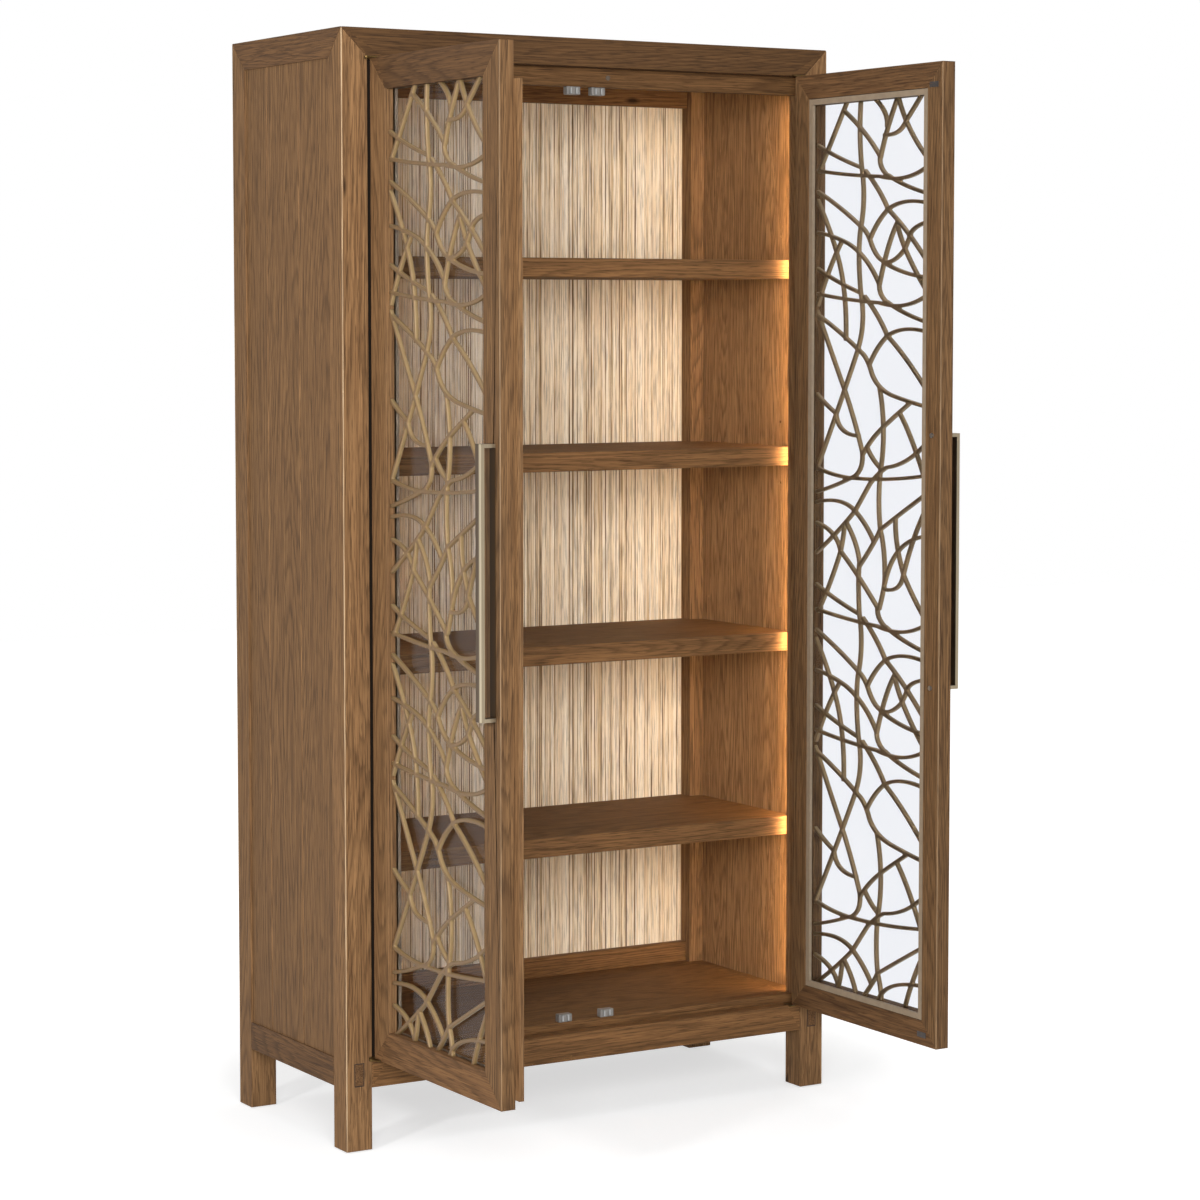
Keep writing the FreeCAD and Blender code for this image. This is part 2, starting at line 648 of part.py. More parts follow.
def hinge_levels(upper):
    """Heights of the carcass leaf, boss, pin and door leaf of one hinge."""
    if upper:
        fixed = (TOP_RAIL_BOTTOM, TOP_RAIL_BOTTOM + LEAF_THICKNESS)
        moving = (DOOR_TOP - LEAF_THICKNESS, DOOR_TOP)
        boss = (DOOR_TOP + BOSS_GAP, fixed[1])
        pin = (moving[0] - HINGE_PIN_TAIL, fixed[1])
    else:
        fixed = (LOWER_RAIL_TOP - LEAF_THICKNESS, LOWER_RAIL_TOP)
        moving = (DOOR_BOTTOM, DOOR_BOTTOM + LEAF_THICKNESS)
        boss = (fixed[0], DOOR_BOTTOM - BOSS_GAP)
        pin = (fixed[0], moving[1] + HINGE_PIN_TAIL)
    return fixed, boss, pin, moving


def fixed_leaf(upper):
    return leaf_plan(hinge_levels(upper)[0])


def upright_on_pivot(radius, span):
    return rod(Vec(PIVOT.x, PIVOT.y, span[0]), radius, span[1] - span[0], UP)


def carcass_leaf(upper):
    fixed, boss, pin, moving = hinge_levels(upper)
    stack = [upright_on_pivot(KNUCKLE_RADIUS, boss), upright_on_pivot(HINGE_PIN_RADIUS, pin)]
    return fixed_leaf(upper).fuse(stack).removeSplitter()


def moving_leaf(upper):
    moving = hinge_levels(upper)[3]
    bore = upright_on_pivot(HINGE_PIN_RADIUS + HINGE_PIN_CLEARANCE, moving)
    return leaf_plan(moving).cut(bore)


def make_carcass_leaves():
    for upper in (True, False):
        leaf = carcass_leaf(upper)
        add("carcass_hinge_leaves", leaf, mirrored(leaf))


# Left door in its closed place
def mitred_frame(x_span, z_span, wide, front, thick):
    """Four mitred strips round a rectangle: bottom, right, top and left."""
    def corners(across, high):
        return [Vec(across[0], front, high[0]), Vec(across[1], front, high[0]),
                Vec(across[1], front, high[1]), Vec(across[0], front, high[1])]

    outer = corners(x_span, z_span)
    inner = corners(grown(x_span, -wide), grown(z_span, -wide))
    strips = []
    for index in range(4):
        after = (index + 1) % 4
        outline = [outer[index], outer[after], inner[after], inner[index]]
        strips.append(prism(outline, REARWARD * thick))
    return strips


def door_members():
    """Four mitred members with a rebate behind the lip, named by their place."""
    rebate = box(grown(LEAF_X, -BACK_FRAME_WIDTH), (FRONT + LIP_THICKNESS, DOOR_BACK),
                 grown(LEAF_Z, -BACK_FRAME_WIDTH))
    names = ("door_bottom_rail", "meeting_stile", "door_top_rail", "hinge_stile")
    members = mitred_frame(LEAF_X, LEAF_Z, DOOR_FRAME_WIDTH, FRONT, DOOR_THICKNESS)
    return {name: member.cut(rebate) for name, member in zip(names, members)}


def pull_screw_heights():
    reach = PULL_HEIGHT / 2 - PULL_BAR / 2
    return (PULL_CENTRE - reach, PULL_CENTRE + reach)


def pull_screw(z, clearance=0.0):
    x = MEETING_EDGE - PULL_EDGE
    reach = DOOR_THICKNESS + PULL_SCREW_BITE
    shank = rod(Vec(x, DOOR_BACK, z), PULL_SCREW_RADIUS + clearance, reach, -REARWARD)
    head = rod(Vec(x, DOOR_BACK, z), PULL_SCREW_HEAD_RADIUS, PULL_SCREW_HEAD_HEIGHT, REARWARD)
    return shank.fuse(head)


def pull():
    """Flat bar bent back to the door at both ends."""
    x_span = around(MEETING_EDGE - PULL_EDGE, PULL_WIDTH)
    high = around(PULL_CENTRE, PULL_HEIGHT)
    block = box(x_span, (FRONT - PULL_STANDOFF, FRONT), high)
    hollow = box(x_span, (FRONT - PULL_STANDOFF + PULL_BAR, FRONT), grown(high, -PULL_BAR))
    screws = [pull_screw(z, PULL_SCREW_CLEARANCE) for z in pull_screw_heights()]
    return cut_by(block.cut(hollow), screws)


def glazing():
    """Glass in the rebate, and the four mitred bead strips behind it."""
    x_span = grown(LEAF_X, -BACK_FRAME_WIDTH - GLASS_EDGE_GAP)
    z_span = grown(LEAF_Z, -BACK_FRAME_WIDTH - GLASS_EDGE_GAP)
    glass_y = (FRONT + LIP_THICKNESS, FRONT + LIP_THICKNESS + GLASS_THICKNESS)
    bead = mitred_frame(x_span, z_span, REBATE_WIDTH - GLASS_EDGE_GAP, glass_y[1], BEAD_THICKNESS)
    return box(x_span, glass_y, z_span), bead


def strike_plates():
    plates = []
    for x, z in catch_places():
        plate_y = (DOOR_BACK, DOOR_BACK + STRIKE_THICKNESS)
        plates.append(box(around(-x, STRIKE_WIDTH), plate_y, around(z, STRIKE_HEIGHT)))
    return plates


def astragal():
    """Strip behind the meeting edge that laps the other door with a running gap."""
    z_span = (FLOOR_TOP + ASTRAGAL_BOTTOM_GAP, HEADER_BOTTOM - ASTRAGAL_TOP_GAP)
    y_span = (DOOR_BACK, DOOR_BACK + ASTRAGAL_THICKNESS)
    strip = box((MEETING_EDGE - ASTRAGAL_SEAT, MEETING_EDGE + ASTRAGAL_LAP), y_span, z_span)
    relief_x = (MEETING_EDGE, MEETING_EDGE + ASTRAGAL_LAP)
    return strip.cut(box(relief_x, (DOOR_BACK, DOOR_BACK + ASTRAGAL_RUNNING_GAP), z_span))


# Lattice of the left door in its closed place
def lattice_point(across, down):
    left, right = grown(LEAF_X, -DOOR_FRAME_WIDTH)
    bottom, top = grown(LEAF_Z, -DOOR_FRAME_WIDTH)
    x = left + across * (right - left) / DRAWN_WIDTH
    z = top - down * (top - bottom) / DRAWN_HEIGHT
    return Vec(x, FRONT + STRAND_RECESS, z)


def bend_reach(start, middle, end):
    """The point that draws an even bend from start to end through the middle."""
    return middle * 2 - (start + end) * 0.5


def strand_face(points):
    """Band of even width along the bend through three points."""
    start, middle, end = [lattice_point(*point) for point in points]
    reach = bend_reach(start, middle, end)
    course = ((start, reach - start), (middle, end - start), (end, end - reach))

    def side(offset):
        near, half_way, far = [point + along.cross(REARWARD).normalize() * offset for point, along in course]
        bend = Part.BezierCurve()
        bend.setPoles([near, bend_reach(near, half_way, far), far])
        return bend

    low, high = side(-STRAND_WIDTH / 2), side(STRAND_WIDTH / 2)
    edges = [low, Part.LineSegment(low.EndPoint, high.EndPoint),
             high, Part.LineSegment(high.StartPoint, low.StartPoint)]
    return Part.Face(Part.Wire([edge.toShape() for edge in edges]))


def lowered(strands, drop):
    """Strands moved down the door."""
    return [tuple((across, down + drop) for across, down in strand) for strand in strands]


def lattice_strands():
    """All strands of one door: the repeated ones, and those of the top, the seams and the foot."""
    strands = list(TOP_STRANDS)
    for tile in range(TILE_COUNT):
        drop = tile * TILE_HEIGHT
        strands += lowered(TILE_STRANDS, drop)
        for row in range(ROW_COUNT):
            strands += lowered(ROW_STRANDS, drop + row * ROW_HEIGHT)
        if tile > 0:
            strands += lowered(SEAM_STRANDS, drop)
    return strands + lowered(FOOT_STRANDS, (TILE_COUNT - 1) * TILE_HEIGHT)


def lattice():
    faces = [strand_face(points) for points in lattice_strands()]
    corners = [lattice_point(0, 0), lattice_point(DRAWN_WIDTH, 0),
               lattice_point(DRAWN_WIDTH, DRAWN_HEIGHT), lattice_point(0, DRAWN_HEIGHT)]
    opening = Part.Face(Part.makePolygon(corners + corners[:1]))
    net = faces[0].multiFuse(faces[1:]).common(opening)
    merged = Part.makeShell(net.Faces).removeSplitter()
    return [face.extrude(REARWARD * STRAND_DEPTH) for face in merged.Faces]


def make_doors():
    leaf = {}
    moving = [moving_leaf(True), moving_leaf(False)]
    screws = [pull_screw(z) for z in pull_screw_heights()]
    holes = [pull_screw(z, PULL_SCREW_CLEARANCE) for z in pull_screw_heights()]
    for name, member in door_members().items():
        leaf[name] = [cut_by(member, moving + holes)]
    glass, bead = glazing()
    leaf["glass"] = [glass]
    leaf["glass_bead"] = bead
    leaf["lattice"] = lattice()
    leaf["pull"] = [pull()]
    leaf["pull_screws"] = screws
    leaf["strike_plates"] = strike_plates()
    leaf["door_hinge_leaves"] = moving
    for name, shapes in leaf.items():
        for shape in shapes:
            opened = shape.copy()
            opened.rotate(PIVOT, UP, -OPEN_ANGLE)
            add("left_" + name, opened)
            add("right_" + name, mirrored(opened))
    strip = astragal()
    strip.rotate(PIVOT, UP, -OPEN_ANGLE)
    add("left_astragal", strip)


make_posts()
make_top_rails()
make_lower_rails()
make_side_panels()
make_top_panel()
make_floor_and_header()
make_back()
make_shelves()
make_shelf_pins()
make_lights()
make_catches()
make_carcass_leaves()
make_doors()

os.makedirs("parts", exist_ok=True)
for node, shapes in pieces.items():
    whole = shapes[0] if len(shapes) == 1 else Part.makeCompound(shapes)
    whole.exportStep("parts/%s.step" % node)
print(len(pieces), "pieces")
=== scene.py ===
# %% [markdown]
# # A display cabinet with lattice doors
# The CAD model holds every board, hinge and screw of this cabinet at its real size. This lesson
# gives those solids their finishes and softens their edges. Then it makes what CAD solids can't
# show well: some thin dark trim, the grasscloth on the back and the twig lattice in the doors.

# %% Load the cabinet
import math
import random

import bmesh
import bpy
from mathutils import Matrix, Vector


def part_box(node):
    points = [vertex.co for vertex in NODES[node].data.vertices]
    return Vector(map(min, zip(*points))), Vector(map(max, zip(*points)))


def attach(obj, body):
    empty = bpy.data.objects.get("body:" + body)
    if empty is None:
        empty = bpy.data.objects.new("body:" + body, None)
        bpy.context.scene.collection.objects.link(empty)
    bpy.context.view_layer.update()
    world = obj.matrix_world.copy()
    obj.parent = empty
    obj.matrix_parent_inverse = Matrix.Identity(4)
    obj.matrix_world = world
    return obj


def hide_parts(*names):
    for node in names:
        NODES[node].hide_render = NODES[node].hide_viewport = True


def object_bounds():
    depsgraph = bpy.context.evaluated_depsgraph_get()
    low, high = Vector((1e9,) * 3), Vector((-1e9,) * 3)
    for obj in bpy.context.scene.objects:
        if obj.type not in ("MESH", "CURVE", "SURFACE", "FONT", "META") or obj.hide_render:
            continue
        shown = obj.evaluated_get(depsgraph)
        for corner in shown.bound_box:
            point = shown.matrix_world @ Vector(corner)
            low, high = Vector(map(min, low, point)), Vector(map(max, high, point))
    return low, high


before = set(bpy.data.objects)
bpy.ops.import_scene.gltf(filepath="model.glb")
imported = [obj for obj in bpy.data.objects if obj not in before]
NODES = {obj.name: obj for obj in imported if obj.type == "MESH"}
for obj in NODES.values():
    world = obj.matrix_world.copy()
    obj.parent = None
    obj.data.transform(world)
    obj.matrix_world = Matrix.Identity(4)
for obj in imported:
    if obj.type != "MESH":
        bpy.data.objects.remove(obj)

CAD_BOX = [list(corner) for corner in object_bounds()]
MM = 0.001
print(len(NODES), "pieces, box from", CAD_BOX[0], "to", CAD_BOX[1])

# %% [markdown]
# ## Colours and nodes
# A colour is written the way a paint chip is, as an sRGB hex value, and a shader wants linear
# light, so one function turns one into the other. A second one adds a shader node with its settings
# and its inputs, each a plain value or a link from another node. A third starts a finish with its
# main shader. The colour sockets of a Mix node share their names with others, so they go by number.

# %% Helpers for finishes
MIX_FROM, MIX_TO, MIXED = 6, 7, 2


def linear(code):
    """The linear colour of an sRGB hex value."""
    parts = [int(code[start:start + 2], 16) / 255 for start in (1, 3, 5)]
    light = [part / 12.92 if part <= 0.04045 else ((part + 0.055) / 1.055) ** 2.4 for part in parts]
    return (*light, 1.0)


def feed(tree, node, inputs):
    """Link a node's inputs to the outputs given, or set them to the values given."""
    for socket, value in inputs.items():
        if isinstance(value, bpy.types.NodeSocket):
            tree.links.new(value, node.inputs[socket])
        else:
            node.inputs[socket].default_value = value


def add_node(tree, kind, inputs=None, stops=(), **settings):
    """Add a node with its settings, its inputs and the stops of a colour ramp."""
    made = tree.nodes.new("ShaderNode" + kind)
    for name, value in settings.items():
        setattr(made, name, value)
    feed(tree, made, inputs or {})
    for index, (position, colour) in enumerate(stops):
        elements = made.color_ramp.elements
        element = elements[index] if index < len(elements) else elements.new(position)
        element.position = position
        element.color = colour
    return made


def start_finish(name, constants=None):
    """A new material, its node tree and its shader, with the values that are the same all over."""
    finish = bpy.data.materials.new(name)
    finish.use_nodes = True
    tree = finish.node_tree
    tree.nodes.clear()
    shader = add_node(tree, "BsdfPrincipled", constants)
    add_node(tree, "OutputMaterial", {"Surface": shader.outputs["BSDF"]})
    return finish, tree, shader


print("helpers ready")

# %% [markdown]
# ## Wire-brushed oak
# The frame, planks, shelves and doors are oak, stained a medium brown, brushed along the grain
# with a wire brush and closed with a satin lacquer. To the eye that gives growth lines that nest in
# long arches, a fine dark speckle of open pores, and pale wear on the corners that hands touch. An
# image would repeat, so the grain is worked out from the place in the wood. First each point is
# turned so that the third axis runs along the grain, and each board, and each plank within one, is
# moved to a part of the log of its own.

# %% Where a point lies in the log
ACROSS_AND_ALONG = {"X": (1, 2, 0), "Y": (2, 0, 1), "Z": (0, 1, 2)}
BOARD_STEP = (0.37, 0.53, 1.31)


def place_in_log(tree, along, plank_spread):
    """A point's place in the log, with the grain along the third axis, and the number of its board."""
    axes = add_node(tree, "SeparateXYZ", {0: add_node(tree, "TexCoord").outputs["Object"]}).outputs
    first, second, third = ACROSS_AND_ALONG[along]
    turned = add_node(tree, "CombineXYZ", {0: axes[first], 1: axes[second], 2: axes[third]}).outputs[0]
    piece = add_node(tree, "Attribute", attribute_type="OBJECT", attribute_name="board").outputs["Fac"]
    plank = add_node(tree, "NewGeometry").outputs["Random Per Island"]
    board = add_node(tree, "Math", {0: plank, 1: plank_spread, 2: piece},
                     operation="MULTIPLY_ADD").outputs[0]
    moved = add_node(tree, "VectorMath", {0: board, 1: BOARD_STEP, 2: turned},
                     operation="MULTIPLY_ADD").outputs[0]
    return moved, board


def fibres(tree, place, width_mm, length_mm, detail, rough=0.5):
    """A streaky pattern: its streaks are this wide and, along the third axis, this long."""
    scale = (1 / (width_mm * MM), 1 / (width_mm * MM), 1 / (length_mm * MM))
    sized = add_node(tree, "VectorMath", {0: place, 1: scale}, operation="MULTIPLY").outputs[0]
    return add_node(tree, "TexNoise", {"Vector": sized, "Scale": 1.0, "Detail": detail,
                                       "Roughness": rough}).outputs["Fac"]


print("boards lie", round(Vector(BOARD_STEP).length, 2), "m apart in the log")

# %% [markdown]
# Contour lines of a slow noise, stretched along the board, nest just as growth lines do, and a
# finer streak frays them. Each line is pale at first and dark near its end, as a year's growth is.
# Real pores are a third of a millimetre wide, too fine for this picture, so they are drawn about
# six times as wide. A knot is the small middle of a cell, in a pattern of scattered cells.

# %% Growth lines, pores and knots
RING_FIELD_MM, RING_FIELD_LENGTH_MM = 150, 1700
RING_COUNT, RING_FRAY = 44, 0.02
LATE_WOOD = ((0.0, 0.05), (0.5, 0.12), (0.85, 1.0), (1.0, 0.05))
PORE_MM, PORE_LENGTH_MM = 2.0, 42
PORE_RANGE = (0.53, 0.66)
KNOT_SPACING_MM, KNOT_MM, KNOT_SQUEEZE = 185, 8, 0.35


def growth_lines(tree, place, streak):
    """How much of the dark late wood of a year shows at a point."""
    field = fibres(tree, place, RING_FIELD_MM, RING_FIELD_LENGTH_MM, 1.0)
    frayed = add_node(tree, "Math", {0: streak, 1: RING_FRAY, 2: field},
                      operation="MULTIPLY_ADD").outputs[0]
    years = add_node(tree, "Math", {0: frayed, 1: RING_COUNT}, operation="MULTIPLY").outputs[0]
    year = add_node(tree, "Math", {0: years}, operation="FRACT").outputs[0]
    stops = [(part, (late, late, late, 1)) for part, late in LATE_WOOD]
    return add_node(tree, "ValToRGB", {"Fac": year}, stops=stops).outputs[0]


def open_pores(tree, place):
    """How much of an open pore shows at a point."""
    speckle = fibres(tree, place, PORE_MM, PORE_LENGTH_MM, 2.0)
    return add_node(tree, "MapRange", {"Value": speckle, "From Min": PORE_RANGE[0],
                                       "From Max": PORE_RANGE[1]}).outputs[0]


def knot_marks(tree, place):
    """How much of a knot shows at a point."""
    squeezed = add_node(tree, "VectorMath", {0: place, 1: (1.0, 1.0, KNOT_SQUEEZE)},
                        operation="MULTIPLY").outputs[0]
    cells = add_node(tree, "TexVoronoi", {"Vector": squeezed, "Scale": 1 / (KNOT_SPACING_MM * MM)})
    rim = KNOT_MM / KNOT_SPACING_MM
    return add_node(tree, "MapRange", {"Value": cells.outputs["Distance"], "From Min": rim,
                                       "From Max": rim / 3}).outputs[0]


print(RING_COUNT, "growth lines between the lowest and the highest value of the noise")

# %% [markdown]
# On the outer corners of the posts and on the free edges of the doors the stain is rubbed thin, in
# patches. Each board carries the place of its worn corner in plan and, as a third value, how far it
# is worn. A point in plan has no height, so the third value is kept when one is taken from the other.

# %% Rubbed corners
WEAR_MM, WEAR_PATCH_MM = 2.2, 45
WEAR_RANGE, LEAST_WEAR = (0.4, 0.6), 0.35


def rubbed_corner(tree, place):
    """How thin the stain is rubbed at a point near the worn corner of its board."""
    spot = add_node(tree, "SeparateXYZ", {0: add_node(tree, "TexCoord").outputs["Object"]}).outputs
    in_plan = add_node(tree, "CombineXYZ", {0: spot[0], 1: spot[1]}).outputs[0]
    corner = add_node(tree, "Attribute", attribute_type="OBJECT",
                      attribute_name="worn_corner").outputs["Vector"]
    off = add_node(tree, "VectorMath", {0: in_plan, 1: corner}, operation="SUBTRACT").outputs[0]
    off = add_node(tree, "VectorMath", {0: off}, operation="ABSOLUTE").outputs[0]
    sides = add_node(tree, "SeparateXYZ", {0: off}).outputs
    farther = add_node(tree, "Math", {0: sides[0], 1: sides[1]}, operation="MAXIMUM").outputs[0]
    edge = add_node(tree, "MapRange", {"Value": farther, "From Min": WEAR_MM * MM,
                                       "From Max": 0.5 * WEAR_MM * MM, "To Max": sides[2]}).outputs[0]
    patch = fibres(tree, place, WEAR_PATCH_MM, 2 * WEAR_PATCH_MM, 1.0)
    patchy = add_node(tree, "MapRange", {"Value": patch, "From Min": WEAR_RANGE[0],
                                         "From Max": WEAR_RANGE[1], "To Min": LEAST_WEAR}).outputs[0]
    return add_node(tree, "Math", {0: edge, 1: patchy}, operation="MULTIPLY").outputs[0]


print("worn corners reach", WEAR_MM, "mm from the edge")

# %% [markdown]
# The streaks of the brush run from a middle brown to a pale one. Late wood, pores and knots are laid
# over them one after another, then comes the tone of the board, and the wear comes last. The brush
# leaves ridges too fine to model, so a bump shows them. The plywood of the back is peeled birch: the
# same pattern in paler colours, and all of one tone.

# %% Put the oak together
STREAK_MM, STREAK_LENGTH_MM = 2.4, 150
STREAK_RANGE = (0.38, 0.62)
LATE_SHARE, PORE_SHARE = 0.55, 0.55
TONE_STEP, TONE_RANGE = 0.618, (0.9, 1.1)
WORN_OAK = "#cdb08c"
OAK_ROUGHNESS = (0.55, 0.8)
OAK_RIDGE_MM = 0.35


def board_tone_and_painted_light(tree, board):
    """How light a board is: a step for its number, and its share of stain and of painted light and shade.
    """
    turn = add_node(tree, "Math", {0: board, 1: TONE_STEP}, operation="MULTIPLY").outputs[0]
    part = add_node(tree, "Math", {0: turn}, operation="FRACT").outputs[0]
    tone = add_node(tree, "MapRange", {"Value": part, "To Min": TONE_RANGE[0],
                                       "To Max": TONE_RANGE[1]}).outputs[0]
    stain_and_painted_light = add_node(tree, "Attribute", attribute_type="OBJECT", attribute_name="stain_and_painted_light").outputs["Fac"]
    return add_node(tree, "Math", {0: tone, 1: stain_and_painted_light}, operation="MULTIPLY").outputs[0]


def brushed_oak(name, along, pale, middle, dark, pore, plank_spread=3.0):
    """Oak whose grain runs along one axis; the spread says how far the planks of a piece differ."""
    finish, tree, shader = start_finish(name, {"Specular IOR Level": 0.18})
    place, board = place_in_log(tree, along, plank_spread)
    streak = fibres(tree, place, STREAK_MM, STREAK_LENGTH_MM, 3.0, 0.6)
    ridge = add_node(tree, "MapRange", {"Value": streak, "From Min": STREAK_RANGE[0],
                                        "From Max": STREAK_RANGE[1]}).outputs[0]
    late = add_node(tree, "Math", {0: growth_lines(tree, place, streak), 1: LATE_SHARE},
                    operation="MULTIPLY").outputs[0]
    pores = open_pores(tree, place)
    speck = add_node(tree, "Math", {0: pores, 1: PORE_SHARE}, operation="MULTIPLY").outputs[0]
    wood = linear(middle)
    for share, over in ((ridge, pale), (late, dark), (speck, pore), (knot_marks(tree, place), pore)):
        wood = add_node(tree, "Mix", {0: share, MIX_FROM: wood, MIX_TO: linear(over)},
                        data_type="RGBA").outputs[MIXED]
    # The board's tone, which on some boards also paints light and shade.
    toned = add_node(tree, "VectorMath", {0: wood, "Scale": board_tone_and_painted_light(tree, board)},
                     operation="SCALE").outputs[0]
    colour = add_node(tree, "Mix", {0: rubbed_corner(tree, place), MIX_FROM: toned,
                                    MIX_TO: linear(WORN_OAK)}, data_type="RGBA").outputs[MIXED]
    rough = add_node(tree, "MapRange", {"Value": streak, "To Min": OAK_ROUGHNESS[0],
                                        "To Max": OAK_ROUGHNESS[1]}).outputs[0]
    relief = add_node(tree, "Math", {0: streak, 1: pores}, operation="SUBTRACT").outputs[0]
    bump = add_node(tree, "Bump", {"Strength": 0.5, "Distance": OAK_RIDGE_MM * MM, "Height": relief})
    feed(tree, shader, {"Base Color": colour, "Roughness": rough, "Normal": bump.outputs[0]})
    return finish


oak = {"X": brushed_oak("brushed_oak_x", "X", "#855f3a", "#6a4a2b", "#422b16", "#2e1d0d"),
       "Y": brushed_oak("brushed_oak_y", "Y", "#805d3c", "#66482d", "#402a17", "#2e1d0e"),
       "Z": brushed_oak("brushed_oak_z", "Z", "#916d48", "#6f5033", "#422d1a", "#311f0f")}
birch_ply = brushed_oak("birch_plywood", "Z", "#c4a780", "#b4946a", "#9c7b54", "#8a6b47",
                        plank_spread=0.0)
print("wood finishes:", [finish.name for finish in [*oak.values(), birch_ply]])

# %% [markdown]
# ## Boards with softened edges
# A CAD edge is perfectly sharp, and a brushed board's edge is not: it is rounded by about a
# millimetre. A bevel modifier rounds the edge without touching the CAD mesh. The side planks keep
# the edges of their V-joints. Boards come from different trees and take the stain differently, so
# each one has a share of its own. For many boards that share also paints light and shade: it makes
# the right side planks lighter where the glow of the strips falls on them, and the top rails, the
# header and several rails and stiles darker where they stand in shade.

# %% Dress the boards
BOARD_EDGE_MM = 1.2
WELD_MM, SHARP_DEGREES = 0.02, 40
FAR_AWAY = (9.0, 9.0, 0.0)
# Each board's share of the stain; for most boards listed here it also paints the light or shade on it.
STAIN_AND_PAINTED_LIGHT = {"front_top_rail": 0.55, "left_door_top_rail": 0.65, "right_door_top_rail": 0.75,
         "left_lower_rail": 0.8, "right_door_bottom_rail": 0.75, "right_hinge_stile": 0.75,
         "right_meeting_stile": 0.72, "left_meeting_stile": 0.76, "right_side_planks": 1.4,
         "left_side_planks": 0.92, "left_top_rail": 0.82, "front_left_post": 1.05, "header": 0.8}
BOARDS = {
    "Z": ["front_left_post", "front_right_post", "back_left_post", "back_right_post",
          "left_side_planks", "right_side_planks", "left_hinge_stile", "left_meeting_stile",
          "right_hinge_stile", "right_meeting_stile", "left_astragal"],
    "X": ["front_top_rail", "back_top_rail", "front_lower_rail", "back_lower_rail", "top_panel",
          "floor_panel", "header", "back_cross_rails", "shelf_1", "shelf_2", "shelf_3", "shelf_4"],
    "Y": ["left_top_rail", "right_top_rail", "left_lower_rail", "right_lower_rail",
          "left_door_top_rail", "left_door_bottom_rail", "right_door_top_rail",
          "right_door_bottom_rail"],
}


def finish_node(node, finish):
    """Give a CAD node this finish and no other."""
    slots = NODES[node].data.materials
    slots.clear()
    slots.append(finish)


def soften(node, width_mm, rings=2):
    """Round a CAD node's sharp edges with modifiers only."""
    piece = NODES[node]
    weld = piece.modifiers.new("weld", "WELD")
    weld.merge_threshold = WELD_MM * MM
    bevel = piece.modifiers.new("soft_edge", "BEVEL")
    bevel.width = width_mm * MM
    bevel.segments = rings
    bevel.limit_method = "ANGLE"
    bevel.angle_limit = math.radians(SHARP_DEGREES)
    piece.modifiers.new("even_normals", "WEIGHTED_NORMAL")


def dress_board(node, finish, number):
    """Give a board its finish and the values that the finish reads, with no worn corner yet."""
    NODES[node]["board"] = float(number)
    NODES[node]["worn_corner"] = FAR_AWAY
    # The share of the stain, which on some boards also paints light or shade.
    NODES[node]["stain_and_painted_light"] = STAIN_AND_PAINTED_LIGHT.get(node, 1.0)
    finish_node(node, finish)


dress_board("back_panel", birch_ply, 0)
boards = [(axis, node) for axis, names in BOARDS.items() for node in names]
for number, (axis, node) in enumerate(boards, start=1):
    dress_board(node, oak[axis], number)
    if not node.endswith("planks"):
        soften(node, BOARD_EDGE_MM)
print(len(boards), "oak boards and the plywood back dressed")

# %% [markdown]
# The posts are worn along their outer corners, and the meeting stiles, where the doors are taken
# hold of, along one edge and much less. The places come from the boxes of the boards.

# %% Say where the boards are worn
POST_WEAR, STILE_WEAR = 0.8, 0.3
POSTS = ("front_left_post", "front_right_post", "back_left_post", "back_right_post")
for node in POSTS:
    low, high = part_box(node)
    outer_x = low.x if low.x < 0 else high.x
    outer_y = low.y if low.y < 0 else high.y
    NODES[node]["worn_corner"] = (outer_x, outer_y, POST_WEAR)
for side in ("left", "right"):
    low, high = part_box(side + "_meeting_stile")
    NODES[side + "_meeting_stile"]["worn_corner"] = (low.x, low.y, STILE_WEAR)
print("wear on", len(POSTS), "posts and two stiles")

# %% [markdown]
# ## Metals
# Screws, catch poles and shelf pins are zinc-plated steel, the strike plates are steel with a dark
# oxide skin, the light strips sit in anodised aluminium, and the knife hinges are brass that has
# aged dark. All of them were drawn or brushed, which stretches their gloss across the lines. They
# differ in colour and in how fine the brushing is, so one function makes them all. Real lines are
# a tenth of a millimetre wide, too fine to show, so they are drawn five to eight times as wide.

# %% Brushed metals
LINE_DEPTH_MM = 0.05
GLOSS_SPREAD = 0.07


def drawn_metal(name, line_mm, line_length_mm, smooth, rough):
    """Metal with drawn lines, its colour left open, and the pattern of the lines."""
    finish, tree, shader = start_finish(name, {"Metallic": 1.0, "Anisotropic": 0.4})
    place = add_node(tree, "TexCoord").outputs["Object"]
    lines = fibres(tree, place, line_mm, line_length_mm, 3.0)
    gloss = add_node(tree, "MapRange", {"Value": lines, "To Min": smooth, "To Max": rough}).outputs[0]
    bump = add_node(tree, "Bump", {"Strength": 0.25, "Distance": LINE_DEPTH_MM * MM, "Height": lines})
    feed(tree, shader, {"Roughness": gloss, "Normal": bump.outputs[0]})
    return finish, tree, shader, lines


def brushed_metal(name, colour, shade, rough, line_mm, line_length_mm):
    """Metal of one colour that is a little darker in its lines."""
    finish, tree, shader, lines = drawn_metal(name, line_mm, line_length_mm,
                                              rough - GLOSS_SPREAD, rough + GLOSS_SPREAD)
    tint = add_node(tree, "Mix", {0: lines, MIX_FROM: linear(shade), MIX_TO: linear(colour)},
                    data_type="RGBA")
    feed(tree, shader, {"Base Color": tint.outputs[MIXED]})
    return finish


